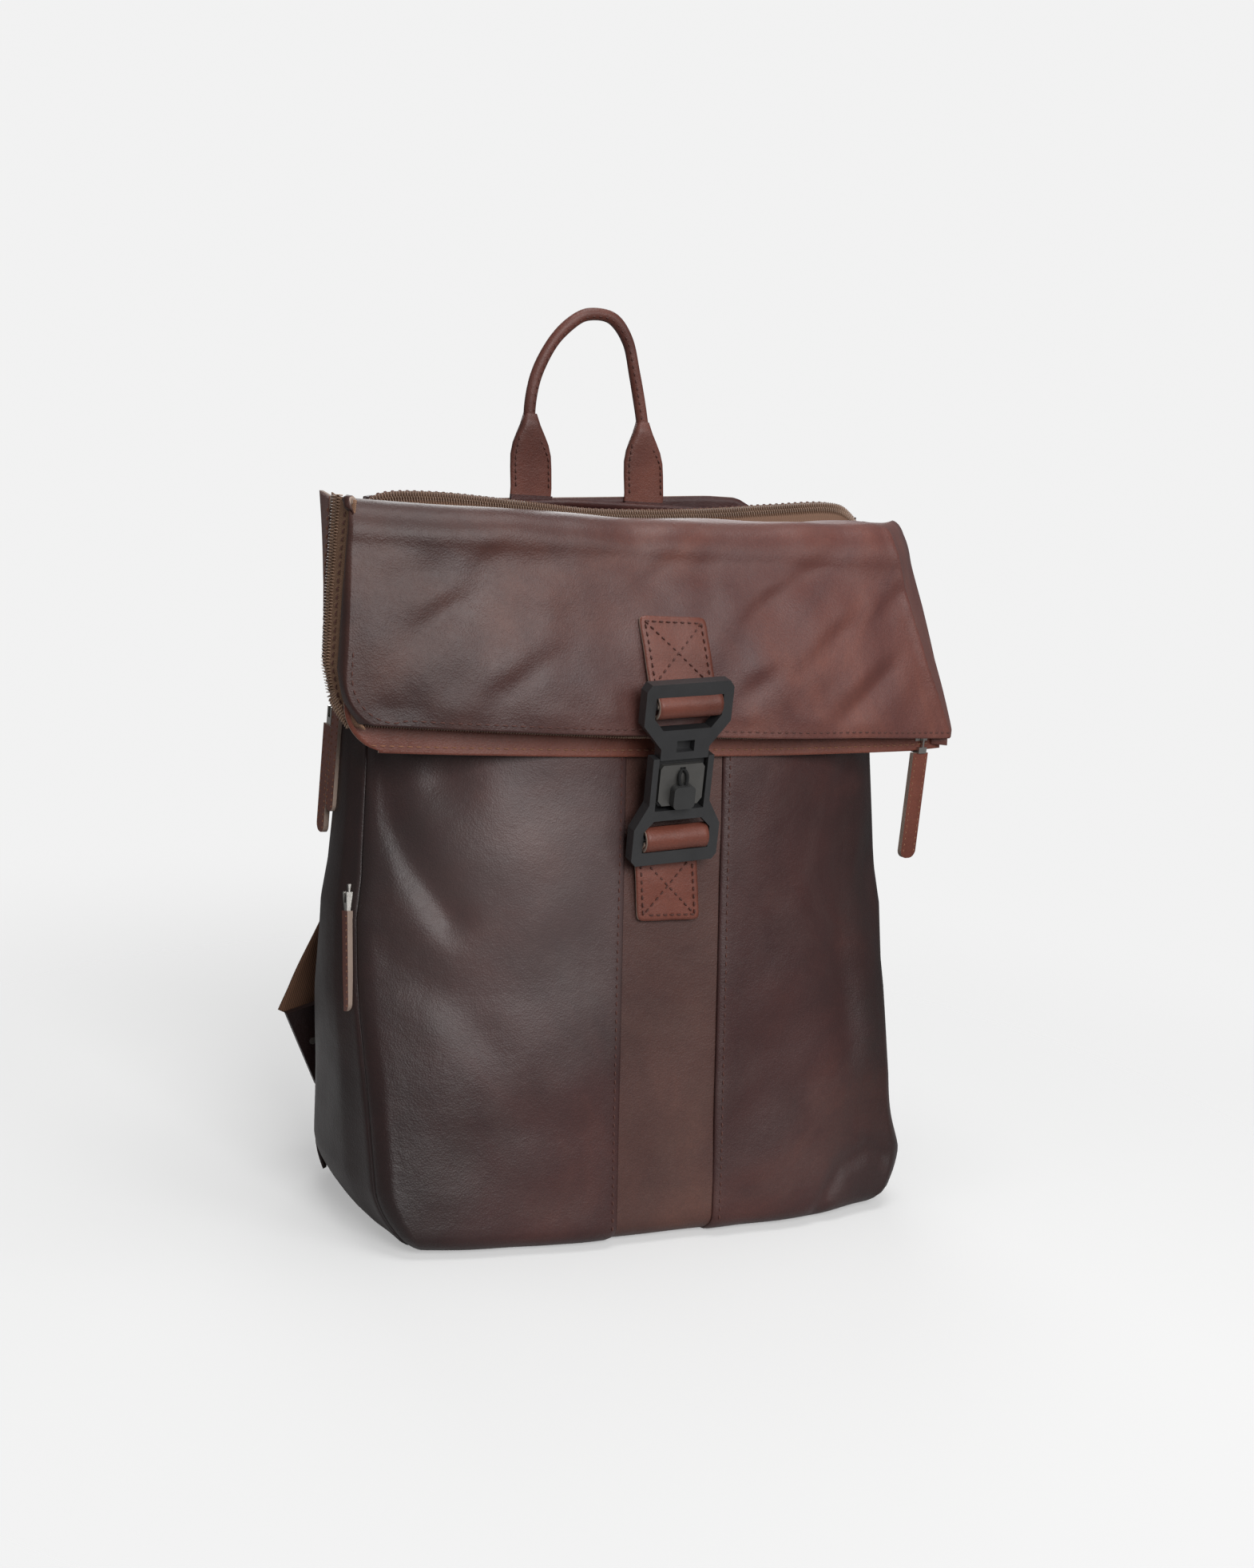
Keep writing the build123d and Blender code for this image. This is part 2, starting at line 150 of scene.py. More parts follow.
def leather(name, dark, mid, light, haze, rough, haze_amount, painted_side_shade=None, tone=(), painted_sheen_centre=None):
    """Waxed pull-up leather: slow tone changes, worn reddish patches, a pale wax bloom and a fine grain.

    The side shade is painted shade on the bag's sides, tone is painted shade along x, darker to the left, and
    the sheen centre is the middle of a paler painted sheen.
    """
    mat, tree, bsdf = new_material(name)
    coords = add(tree, "ShaderNodeTexCoord").outputs["Object"]
    slow = noise_tex(tree, coords, 9.0, 5.0, 0.6, 0.6)
    base = ramp(tree, slow, [(0.30, dark), (0.52, mid), (0.74, light)])
    cloud = noise_tex(tree, coords, 14.0, 6.0, 0.65, 1.2)
    bloom = ramp(tree, cloud, [(0.48, (0, 0, 0)), (0.72, (1, 1, 1))])
    base = mixed(tree, calc(tree, "MULTIPLY", bloom, haze_amount), base, haze)
    speck = noise_tex(tree, coords, 900.0, 3.0, 0.6)
    fine = ramp(tree, speck, [(0.35, (0.86, 0.86, 0.86)), (0.65, (1.1, 1.08, 1.06))])
    base = mixed(tree, 0.7, base, fine, "MULTIPLY")
    across = add(tree, "ShaderNodeSeparateXYZ", {0: coords}).outputs[0]
    # Painted shade: darker towards the bag's sides, with a ragged edge, standing in for the shade that falls
    # on the sides.
    if painted_side_shade:
        ragged = calc(tree, "MULTIPLY_ADD", cloud, 0.06, calc(tree, "ABSOLUTE", across))
        base = mixed(tree, 1.0, base, ramp(tree, ragged, [(0.13, (1, 1, 1)), (0.19, (painted_side_shade,) * 3)]),
                     "MULTIPLY")
    # Painted shade: darker steps along x, which darken the flap towards its left.
    if tone:
        levels = ramp(tree, calc(tree, "ADD", across, 0.5), [(0.5 + x, (share,) * 3) for x, share in tone])
        base = mixed(tree, 1.0, base, levels, "MULTIPLY")
    # Painted sheen: a paler area round its middle, standing in for the broad sheen of a soft light on the
    # left front panel.
    if painted_sheen_centre:
        reach = add(tree, "ShaderNodeVectorMath", {0: coords, 1: painted_sheen_centre}, operation="DISTANCE").outputs["Value"]
        base = mixed(tree, remap(tree, reach, 0.34, 0.0, 0.02, 0.13, "SMOOTHSTEP"), base,
                     (0.115, 0.092, 0.090))
    sheen = noise_tex(tree, coords, 22.0, 5.0, 0.6, 0.4)
    pores = add(tree, "ShaderNodeTexVoronoi", {"Vector": coords, "Scale": 1100.0}, feature="F1")
    normal = bump(tree, pores.outputs["Distance"], 0.22, 0.0004)
    normal = bump(tree, noise_tex(tree, coords, 260.0, 6.0, 0.7, 0.8), 0.30, 0.0007, normal)
    normal = bump(tree, noise_tex(tree, coords, 45.0, 3.0, 0.5), 0.35, 0.0016, normal)
    feed(tree, bsdf, {"Base Color": base, "Roughness": remap(tree, sheen, rough - 0.08, rough + 0.12),
                      "Normal": normal, "Specular IOR Level": 0.33, "Coat Weight": 0.03,
                      "Coat Roughness": 0.35})
    return mat


def plain(name, colour, rough, metallic=0.0, grain=0.0, coat=0.0):
    mat, tree, bsdf = new_material(name)
    coords = add(tree, "ShaderNodeTexCoord").outputs["Object"]
    tone = noise_tex(tree, coords, 60.0)
    wear = noise_tex(tree, coords, 180.0)
    feed(tree, bsdf, {"Base Color": ramp(tree, tone,
                                         [(0.3, shaded(colour, 0.86)), (0.7, shaded(colour, 1.12))]),
                      "Roughness": remap(tree, wear, max(0.05, rough - 0.06), rough + 0.08),
                      "Metallic": metallic, "Coat Weight": coat})
    if grain:
        feed(tree, bsdf, {"Normal": bump(tree, noise_tex(tree, coords, 900.0, 4.0, 0.6), grain, 0.0003)})
    return mat


def woven(name, colour, pitch, rough=0.8, herringbone=False):
    """Woven tape: fine ribs from the piece's own UV lengths, in millimetres."""
    mat, tree, bsdf = new_material(name)
    uv = add(tree, "ShaderNodeTexCoord").outputs["UV"]
    across, along, _ = add(tree, "ShaderNodeSeparateXYZ", {0: uv}).outputs
    if herringbone:
        across = calc(tree, "PINGPONG", across, 1.5)
    ribs = calc(tree, "MULTIPLY", calc(tree, "ADD", across, along), 2 * pi / pitch)
    rise = remap(tree, calc(tree, "SINE", ribs), 0.0, 1.0, -1.0)
    feed(tree, bsdf, {"Base Color": ramp(tree, rise,
                                         [(0.0, shaded(colour, 0.55)), (1.0, shaded(colour, 1.2))]),
                      "Normal": bump(tree, rise, 0.5,
                                     0.0004), "Roughness": rough, "Specular IOR Level": 0.25})
    return mat


# The body leather gets painted shade on the bag's sides and a painted sheen on the left front panel.
BODY = leather("body_leather", (0.022, 0.0085, 0.0085), (0.040, 0.014, 0.013), (0.072, 0.025, 0.020),
               (0.075, 0.048, 0.044), 0.44, 0.28, painted_side_shade=0.30, painted_sheen_centre=(-0.075, -0.075, 0.19))
STRIP_LEATHER = leather("strip_leather", (0.038, 0.015, 0.013), (0.060, 0.025, 0.020), (0.092, 0.038, 0.028),
                        (0.09, 0.055, 0.045), 0.46, 0.2)
# The flap leather's tone steps are painted shade, darker towards its left.
FLAP = leather("flap_leather", (0.056, 0.020, 0.020), (0.104, 0.036, 0.029), (0.185, 0.065, 0.045),
               (0.15, 0.085, 0.075), 0.44, 0.25, tone=[(-0.14, 0.30), (-0.04, 0.66), (0.10, 1.0)])
TRIM = leather("trim_leather", (0.078, 0.021, 0.013), (0.125, 0.036, 0.023), (0.180, 0.056, 0.036),
               (0.16, 0.075, 0.06), 0.46, 0.2)
HANDLE = leather("handle_leather", (0.050, 0.016, 0.012), (0.095, 0.030, 0.021), (0.150, 0.050, 0.033),
                 (0.14, 0.07, 0.06), 0.44, 0.25)
RAW = plain("raw_edge", (0.25, 0.185, 0.15), 0.85, grain=0.6)
THREAD = plain("thread", (0.062, 0.018, 0.012), 0.7)
THREAD_LIGHT = plain("thread_light", (0.20, 0.085, 0.045), 0.7)
COIL = plain("zip_coil", (0.165, 0.102, 0.070), 0.32)
# Painted light: a lighter copy of the coil, for the flap's left end, which faces away from the lamps.
COIL_PAINTED_LIGHT = plain("zip_coil_painted_light", (0.30, 0.19, 0.13), 0.32)
TAPE = woven("zip_tape", (0.150, 0.083, 0.054), 0.9, herringbone=True)
# Painted light: a lighter copy of the tape, for the flap's left end, which faces away from the lamps.
TAPE_PAINTED_LIGHT = woven("zip_tape_painted_light", (0.24, 0.135, 0.085), 0.9, herringbone=True)
WEB = woven("webbing", (0.105, 0.050, 0.028), 1.6)
NICKEL = plain("nickel", (0.52, 0.50, 0.47), 0.28, metallic=1.0)
BLACK = plain("buckle_black", (0.020, 0.020, 0.021), 0.40, grain=0.15, coat=0.05)
GREY = plain("release_grey", (0.115, 0.112, 0.106), 0.38, metallic=0.7)
CORD = woven("cord_black", (0.012, 0.012, 0.012), 0.8)
RUBBER = plain("tab_rubber", (0.020, 0.020, 0.020), 0.55)
LINING = woven("lining_fabric", (0.09, 0.065, 0.05), 0.7)
MESH = woven("pad_fabric", (0.055, 0.035, 0.028), 1.3, rough=0.9, herringbone=True)


# ---- mesh helpers

def mesh_object(name, verts, faces, material, uvs=None):
    mesh = bpy.data.meshes.new(name)
    mesh.from_pydata([tuple(v) for v in verts], [], faces)
    if uvs is not None:
        layer = mesh.uv_layers.new(name="UVMap")
        loops = np.zeros(len(mesh.loops), np.int32)
        mesh.loops.foreach_get("vertex_index", loops)
        layer.data.foreach_set("uv", np.asarray(uvs, float)[loops].ravel())
    mesh.materials.append(material)
    mesh.polygons.foreach_set("use_smooth", [True] * len(mesh.polygons))
    obj = bpy.data.objects.new(name, mesh)
    bpy.context.scene.collection.objects.link(obj)
    mesh.update()
    return obj


def grid_faces(n, m, wrap=False, flip=False):
    faces = []
    columns = m if wrap else m - 1
    for i in range(n - 1):
        for j in range(columns):
            k = (j + 1) % m
            quad = (i * m + j, i * m + k, (i + 1) * m + k, (i + 1) * m + j)
            faces.append(quad[::-1] if flip else quad)
    return faces


def sheet_mesh(name, points, material, thick=0.0, flip=False, rim=None):
    """points is an n x m x 3 grid in design millimetres. Thickness goes behind the shown side."""
    pts = np.asarray(points, float)
    n, m = pts.shape[:2]
    uv = np.zeros((n, m, 2))
    uv[:, 1:, 0] = np.cumsum(np.linalg.norm(np.diff(pts, axis=1), axis=2), axis=1)
    uv[1:, :, 1] = np.cumsum(np.linalg.norm(np.diff(pts, axis=0), axis=2), axis=0)
    faces = grid_faces(n, m, flip=flip)
    obj = mesh_object(name, to_frame(pts).reshape(-1, 3), faces, material, uv.reshape(-1, 2))
    if thick:
        mod = obj.modifiers.new("thick", "SOLIDIFY")
        mod.thickness = thick * MM
        mod.offset = -1.0
        if rim:
            obj.data.materials.append(rim)
            mod.material_offset_rim = 1
        bake(obj)
    return obj


def settle(piece, slot, body, *nodes):
    """The piece rides on a body, or is handed to the function given, and stands for the CAD nodes."""
    if nodes:
        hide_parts(*nodes)
    if callable(body):
        body(piece)
    else:
        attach(piece, body)


def skin(name, points, material, slot, body, *nodes, **shape):
    settle(sheet_mesh(name, points, material, **shape), slot, body, *nodes)


def bake(obj):
    """Applies the modifiers, so that the mesh is final."""
    bpy.context.view_layer.update()
    deps = bpy.context.evaluated_depsgraph_get()
    mesh = bpy.data.meshes.new_from_object(obj.evaluated_get(deps))
    old = obj.data
    obj.modifiers.clear()
    obj.data = mesh
    bpy.data.meshes.remove(old)
    return obj


def join(name, objs):
    """One object from several meshes, keeping their materials."""
    for o in objs:
        bpy.context.view_layer.update()
        o.data.transform(o.matrix_world)
        o.matrix_world = Matrix.Identity(4)
    with bpy.context.temp_override(active_object=objs[0], selected_editable_objects=objs, object=objs[0],
                                   selected_objects=objs):
        bpy.ops.object.join()
    objs[0].name = name
    objs[0].data.name = name
    return objs[0]


def puff(obj, outward, reach):
    """Swells a pad by a pressure run without gravity. Its rear stays sewn, and no point moves past reach."""
    even = obj.modifiers.new("even", "REMESH")
    even.mode = "VOXEL"
    even.voxel_size = PAD_VOXEL * MM
    even.use_smooth_shade = True
    bake(obj)
    start = np.array([v.co for v in obj.data.vertices])
    depth = start @ np.asarray(outward, float)
    rear = np.nonzero(depth < depth.min() + 2.5 * MM)[0]
    obj.vertex_groups.new(name="sewn").add(rear.tolist(), 1.0, "REPLACE")
    cloth = obj.modifiers.new("cloth", "CLOTH")
    cloth.settings.vertex_group_mass = "sewn"
    cloth.settings.use_pressure = True
    cloth.settings.uniform_pressure_force = 4.0
    cloth.settings.effector_weights.gravity = 0.0
    for step in range(1, 21):
        bpy.context.scene.frame_set(step)
    bake(obj)
    end = np.array([v.co for v in obj.data.vertices])
    move = end - start
    size = np.linalg.norm(move, axis=1)[:, None]
    end = start + move * np.minimum(1.0, reach * MM / np.maximum(size, 1e-9))
    obj.data.vertices.foreach_set("co", end.ravel())
    bpy.context.scene.frame_set(1)
    finer = obj.modifiers.new("finer", "SUBSURF")
    finer.levels = finer.render_levels = 1
    bake(obj)


def frames_along(path, up):
    """Tangent, side and normal at each point of a path."""
    path = np.asarray(path, float)
    tangent = np.gradient(path, axis=0)
    tangent /= np.linalg.norm(tangent, axis=1)[:, None]
    up = np.broadcast_to(np.asarray(up, float), path.shape)
    side = np.cross(tangent, up)
    side /= np.linalg.norm(side, axis=1)[:, None]
    normal = np.cross(side, tangent)
    return tangent, side, normal


def resample(path, step):
    path = np.asarray(path, float)
    lengths = np.concatenate([[0], np.cumsum(np.linalg.norm(np.diff(path, axis=0), axis=1))])
    count = max(2, int(round(lengths[-1] / step)) + 1)
    at = np.linspace(0, lengths[-1], count)
    return np.stack([np.interp(at, lengths, path[:, k]) for k in range(3)], -1)


def smooth_path(points, count=120):
    """Catmull-Rom curve through the points."""
    p = np.asarray(points, float)
    p = np.vstack([2 * p[0] - p[1], p, 2 * p[-1] - p[-2]])
    out = []
    spans = len(p) - 3
    for s in range(spans):
        t = np.linspace(0, 1, max(3, count // spans), endpoint=(s == spans - 1))[:, None]
        a, b, c, d = p[s], p[s + 1], p[s + 2], p[s + 3]
        out.append(0.5 * (2 * b + (c - a) * t + (2 * a - 5 * b + 4 * c - d) * t**2
                          + (3 * b - a - 3 * c + d) * t**3))
    return np.vstack(out)


def tube(name, path, radius, material, around=12, up=(0, 1, 0), squash=1.0, caps=True):
    path = np.asarray(path, float)
    _, side, normal = frames_along(path, up)
    r = np.broadcast_to(np.asarray(radius, float), (len(path),))
    a = np.linspace(0, 2 * pi, around, endpoint=False)
    ring = (np.cos(a)[None, :, None] * side[:, None, :]
            + squash * np.sin(a)[None, :, None] * normal[:, None, :])
    pts = path[:, None, :] + ring * r[:, None, None]
    verts = to_frame(pts).reshape(-1, 3)
    faces = grid_faces(len(path), around, wrap=True, flip=True)
    if caps:
        faces.append(tuple(range(around)))
        last = (len(path) - 1) * around
        faces.append(tuple(range(last + around - 1, last - 1, -1)))
    du = np.broadcast_to((a / (2 * pi) * 2 * pi)[None, :] * r[:, None], pts.shape[:2])
    dv = np.concatenate([[0], np.cumsum(np.linalg.norm(np.diff(path, axis=0), axis=1))])
    uvs = np.stack([du, np.broadcast_to(dv[:, None], pts.shape[:2])], -1).reshape(-1, 2)
    return mesh_object(name, verts, faces, material, uvs)


def stitches(name, paths, ups, material=None, length=3.0, gap=1.5, width=0.42, lift=0.12):
    """Rows of short thread capsules lying along the paths, each sunk a little at its ends."""
    verts, faces = [], []
    for path, up in zip(paths, ups):
        line = resample(path, 0.5)
        up = np.asarray(up, float)
        if up.ndim == 1:
            up_line = np.broadcast_to(up, line.shape)
        else:
            share, knots = np.linspace(0, 1, len(line)), np.linspace(0, 1, len(up))
            up_line = np.stack([np.interp(share, knots, up[:, k]) for k in range(3)], -1)
        per = int(round(length / 0.5))
        skip = int(round((length + gap) / 0.5))
        for start in range(0, len(line) - per, skip):
            seg = line[start:start + per + 1][[0, per // 3, 2 * per // 3, per]]
            u = up_line[start]
            u = u / np.linalg.norm(u)
            t = seg[-1] - seg[0]
            t = t / np.linalg.norm(t)
            s = np.cross(t, u)
            base = len(verts)
            for k, (rise, w) in enumerate(((-0.45, 0.5), (lift, 1.0), (lift, 1.0), (-0.45, 0.5))):
                for a in range(6):
                    angle = a * pi / 3
                    v = seg[k] + u * rise + (s * cos(angle) + u * sin(angle)) * width * w
                    verts.append(v)
            for k in range(3):
                for a in range(6):
                    b = (a + 1) % 6
                    faces.append((base + k * 6 + a, base + k * 6 + b, base + (k + 1) * 6 + b,
                                  base + (k + 1) * 6 + a))
    return mesh_object(name, to_frame(np.array(verts)), faces, material or THREAD)


def coil_teeth(name, path, normal, width=4.6, pitch=1.35, height=1.5, material=None):
    """Two rows of slanted coil loops that meet along the path's middle."""
    line = resample(path, pitch)
    tangent, side, up = frames_along(line, normal(line))
    verts, faces = [], []
    for i in range(len(line)):
        for sign in (-1, 1):
            centre = line[i] + tangent[i] * (pitch * 0.25 * sign)
            inner = centre - side[i] * sign * 0.35
            outer = centre + side[i] * sign * width / 2 - tangent[i] * 0.28 * sign
            base = len(verts)
            for k, (p, w, h) in enumerate(((inner, 0.50, 0.72), (inner * 0.55 + outer * 0.45, 0.46, 1.0),
                                           (outer, 0.40, 0.62))):
                for dt, dh in ((-1, 0), (-0.7, 0.75), (0.0, 1.0), (0.7, 0.75), (1, 0)):
                    verts.append(p + tangent[i] * dt * w * pitch * 0.5 * 0.98 + up[i] * dh * h * height)
            for k in range(2):
                for a in range(4):
                    q = (base + k * 5 + a, base + k * 5 + a + 1, base + (k + 1) * 5 + a + 1,
                         base + (k + 1) * 5 + a)
                    faces.append(q if sign > 0 else q[::-1])
            ends = (tuple(base + a for a in range(5)), tuple(base + 10 + a for a in range(4, -1, -1)))
            faces.extend(ends if sign < 0 else (ends[0][::-1], ends[1][::-1]))
    return mesh_object(name, to_frame(np.array(verts)), faces, material or COIL)


# ---- shape of the bag

LEVELS = [-20, 10, 70, 130, 190, 250, 350]
EDGE_LINE = [-52, -48, -26, 0, 17, 30, 45]
WIDE_AT = [0, 30, 70, 115, 160, 180, 240, 350]
WIDE = [146, 156, 158, 160, 160, 157, 154, 152]
CREASES = [((-150, 240), (-143, 214), (-131, 188), (-116, 166), 5.0, 9.0),
           ((-140, 143), (-126, 131), (-112, 120), (-104, 112), 1.5, 12.0),
           ((118, 235), (113, 190), (114, 140), (120, 90), 3.0, 12.0),
           ((95, 8), (110, 28), (130, 34), (148, 26), 2.0, 5.0)]
FOLD_WRINKLES = [(13, 354), (63, 343), (85, 360), (85, 315), (42, 331), (-106, 351), (-130, 323),
                 (-94, 291), (37, 291), (118, 294), (130, 336), (-20, 345), (100, 281)]


def half_width(z):
    return level(z, WIDE_AT, WIDE)


def strip_y(z):
    return -62 + 0.1763 * z


def edge_y(z):
    return level(z, LEVELS, EDGE_LINE)


def wave(x, y, z, size, depth):
    return depth * noise.noise(Vector((x / size, y / size, z / size)))


def segment_distance(x, z, points):
    best = 1e9
    for (x0, z0), (x1, z1) in zip(points, points[1:]):
        dx, dz = x1 - x0, z1 - z0
        t = max(0.0, min(1.0, ((x - x0) * dx + (z - z0) * dz) / (dx * dx + dz * dz)))
        best = min(best, hypot(x - x0 - t * dx, z - z0 - t * dz))
    return best


def front_relief(x, z):
    """How far the front leather sinks (positive) or swells (negative) at a place."""
    sink = 0.0
    for *points, depth, width in CREASES:
        sink += depth * exp(-(segment_distance(x, z, points) / width) ** 2)
    sink += 4.0 * exp(-((x + 119) ** 2 + (z - 235) ** 2) / 144)
    sink -= 4.0 * exp(-((x + 100) ** 2 + (z - 200) ** 2) / 2500)
    return sink + wave(x, 3, z, 60, 2.6) + wave(x, 9, z, 25, 0.8)


def corner_shift(z, side):
    """The bottom left corner is rounded in; the right one bulges out over its seam."""
    if side < 0:
        return -11 * (max(0.0, 26 - z) / 26) ** 2
    return -7 * (max(0.0, 14 - z) / 14) ** 2 + 6.5 * exp(-((z - 26) / 18) ** 2)


def front_point(share, z, side, lift=0.0):
    """The front leather at a share of the way from the strip's edge to the side seam."""
    half = half_width(z)
    flat = min(share / 0.93, 1.0)
    x = STRIP + (half - 10 - STRIP) * flat
    y = strip_y(z) + (edge_y(z) - strip_y(z)) * (flat * 0.955) ** 2.2
    if share > 0.93:
        a = (share - 0.93) / 0.07 * radians(38)
        x += 16.2 * (sin(radians(32) + a) - sin(radians(32)))
        y += 16.2 * (cos(radians(32)) - cos(radians(32) + a))
    fade = min(1.0, share * 6) * min(1.0, (1 - share) * 9)
    y += front_relief(side * x, z) * fade - lift
    under = max(0.0, 12 - z) / 12
    y += 12 * under ** 2.2
    x += corner_shift(z, side) * share ** 5
    return (side * x, y, z)


def front_z_rows():
    low = [12 - 12 * sin(a) for a in np.linspace(pi / 2, 0, 7)]
    return low + list(np.linspace(16, 350, 112))


# ---- front and sides

def build_front():
    rows = front_z_rows()
    for side, name in ((-1, "left"), (1, "right")):
        shares = np.concatenate([[0.0, 0.006, 0.014, 0.03], np.linspace(0.055, 0.94, 84),
                                 [0.95, 0.96, 0.97, 0.98, 0.99, 0.995, 1.0]])
        pts = np.zeros((len(rows), len(shares), 3))
        for i, z in enumerate(rows):
            for j, share in enumerate(shares):
                fold = 2.3 * sqrt(max(0.0, min(1.0, share / 0.03)))
                seam = 1.2 * max(0.0, (share - 0.985) / 0.015) ** 2
                x, y, _ = front_point(share, z, side)
                pts[i, j] = (x, y - fold + seam, z)
        skin(f"front_leather_{name}", pts, BODY, "body_leather", "bag", f"front_panel_{name}", thick=2.0,
             flip=side < 0)
        path = []
        for z in np.linspace(9, 345, 170):
            x, y, _ = front_point(0.03, z, side)
            path.append((x, y - 2.35, z))
        settle(stitches(f"front_stitches_{name}", [path], [(0, -1, 0)]), "body_leather", "bag")
    rows = rows[:-1] + [352]
    xs = np.linspace(-STRIP - 5, STRIP + 5, 22)
    pts = np.zeros((len(rows), len(xs), 3))
    for i, z in enumerate(rows):
        for j, x in enumerate(xs):
            under = max(0.0, 12 - z) / 12
            pts[i, j] = (x, strip_y(z) + 12 * under ** 2.2 + 0.3 + wave(x, 17, z, 40, 1.0), z)
    skin("centre_strip_leather", pts, STRIP_LEATHER, "body_leather", "bag", "center_strip", thick=2.0)


def gusset_front_y(z):
    return edge_y(z) + (edge_y(z) - strip_y(z)) * (0.955 ** 2.2 - 1) + 8.4


def gusset_point(t, z, side):
    """Side leather from the front seam (t 0) to the back seam (t 1)."""
    y0, y1 = gusset_front_y(z), 64.0
    half = half_width(z)
    swell = sin(pi * t) ** 0.8 * (4.0 if z < 300 else 4.0 - (z - 300) * 0.07)
    x = half - 4.0 + swell * 1.5 * min(1.0, t * 3 + 0.2) - 2.2 * max(0.0, t - 0.8) / 0.2
    y = y0 + (y1 - y0) * t
    x += wave(side * 7, y, z, 45, 2.4) * sin(pi * t)
    x += corner_shift(z, side)
    y += 12 * (max(0.0, 12 - z) / 12) ** 2.2 * (1 - t)
    return (side * x, y, z)


def build_sides():
    rows = [16 - 16 * sin(a) for a in np.linspace(pi / 2, 0, 7)] + list(np.linspace(20, 345, 90))
    ts = np.linspace(0, 1, 36)
    for side, name in ((-1, "left"), (1, "right")):
        pts = np.array([[gusset_point(t, z, side) for t in ts] for z in rows])
        pts[:, 0, 0] -= side * 1.0
        skin(f"side_leather_{name}", pts, BODY, "body_leather", "bag", f"gusset_{name}", thick=2.0,
             flip=side > 0)
        front, rear = [], []
        for z in np.linspace(14, 343, 150):
            x, y, _ = gusset_point(0.045, z, side)
            front.append((x + side * 0.1, y, z))
            x, y, _ = gusset_point(0.955, z, side)
            rear.append((x + side * 0.1, y, z))
        settle(stitches(f"side_stitches_{name}", [front, rear], [(side, 0, 0)]), "body_leather", "bag")
        cord = tube(f"side_piping_{name}", [gusset_point(0.0, z, side) for z in np.linspace(2, 345, 100)],
                    1.3, BODY, 8)
        settle(cord, "body_leather", "bag")


def rounded_outline(x0, x1, y0, y1, radius, steps=8):
    pts = []
    for cx, cy, a0 in ((x1 - radius, y1 - radius, 0), (x0 + radius, y1 - radius, 90),
                       (x0 + radius, y0 + radius, 180), (x1 - radius, y0 + radius, 270)):
        for a in np.linspace(a0, a0 + 90, steps):
            pts.append((cx + radius * cos(radians(a)), cy + radius * sin(radians(a))))
    return np.array(pts)


def slab(name, outline, z0, z1, material, edge=2.0):
    """A flat padded slab from an outline in x, y with rounded edges."""
    centre = outline.mean(axis=0)
    rings = []
    for a in np.linspace(-90, 90, 9):
        inset = edge * (1 - cos(radians(a)))
        z = (z0 + z1) / 2 + (z1 - z0) / 2 * sin(radians(a))
        away = outline - centre
        length = np.linalg.norm(away, axis=1)[:, None]
        ring = outline - away / length * inset
        rings.append(np.column_stack([ring, np.full(len(ring), z)]))
    pts = np.array(rings)
    faces = grid_faces(len(rings), len(outline), wrap=True)
    faces.append(tuple(range(len(outline)))[::-1])
    last = (len(rings) - 1) * len(outline)
    faces.append(tuple(range(last, last + len(outline))))
    return mesh_object(name, to_frame(pts).reshape(-1, 3), faces, material)


def base_front_y(x):
    share = max(0.0, (abs(x) - STRIP) / (146 - STRIP))
    return strip_y(0) + 12.5 + (edge_y(0) - strip_y(0)) * share ** 2.2


def build_base():
    xs = np.linspace(-127, 127, 41)
    front = [(x, base_front_y(x) + 1.5) for x in xs]
    outline = np.array(front + [(130, -20), (131, 30), (130, 58), (124, 70), (100, 74), (-100, 74),
                                (-124, 70),
                                (-130, 58), (-131, 30), (-130, -20)])
    base = slab("base_leather", outline, 0.0, 5.5, BODY, 2.2)
    settle(base, "body_leather", "bag", "base_panel")


# ---- back

def back_top(x):
    return level(x, [-150, -80, 71, 150], [367, 368, 378, 378])


def back_point(u, w):
    """Back leather: u from side to side, w up. The sides wrap forward to the zip."""
    x = u * 150
    top = back_top(x) if abs(x) < 148 else 345
    z = 4 + (min(top, 371.5) - 4) * w
    y = 81.6 + 1.2 * sin(pi * w) * cos(u * 1.4)
    wrap = max(0.0, (abs(x) - 136) / 14)
    y -= 14 * wrap ** 2.4
    corner = max(0.0, 25 - z) / 25
    y -= 10 * corner ** 2.2
    high = max(0.0, z - 362) / 10
    y -= 6 * high ** 2
    x -= copysign(5 * corner ** 2, x) if abs(u) > 0.9 else 0
    return (x, y + wave(x, 33, z, 60, 1.4), z)


def build_back():
    us = np.concatenate([[-1.0, -0.993, -0.985, -0.97], np.linspace(-0.95, 0.95, 66),
                         [0.97, 0.985, 0.993, 1.0]])
    ws = np.concatenate([[0, 0.006, 0.014, 0.025], np.linspace(0.04, 0.975, 70), [0.985, 0.993, 1.0]])
    pts = np.array([[back_point(u, w) for u in us] for w in ws])
    skin("back_leather", pts, BODY, "body_leather", "bag", "back_panel", thick=2.0, flip=True)
    for side, name in ((-1, "left"), (1, "right")):
        outline = rounded_outline(min(side * 18, side * 108), max(side * 18, side * 108), 70, 296, 22)
        pad = slab(f"back_pad_{name}", outline, -3.5, 3.5, MESH, 3.5)
        pad.data.transform(Matrix(((1, 0, 0, 0), (0, 0, 1, (82.6 + 3.4) * MM + SHIFT), (0, 1, 0, -SHIFT),
                                   (0, 0, 0, 1))))
        puff(pad, (0, 1, 0), 2.5)
        settle(pad, "pad_fabric", "bag")
        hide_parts("back_padding")
        hem = np.column_stack([outline[:, 0], np.full(len(outline), 88.9), outline[:, 1]])
        centre = hem.mean(axis=0)
        hem = hem + (centre - hem) / np.linalg.norm(centre - hem, axis=1)[:, None] * 5
        settle(stitches(f"pad_stitches_{name}", [np.vstack([hem, hem[:1]])], [(0, 1, 0)], lift=0.3),
               "pad_fabric", "bag")


# ---- flap

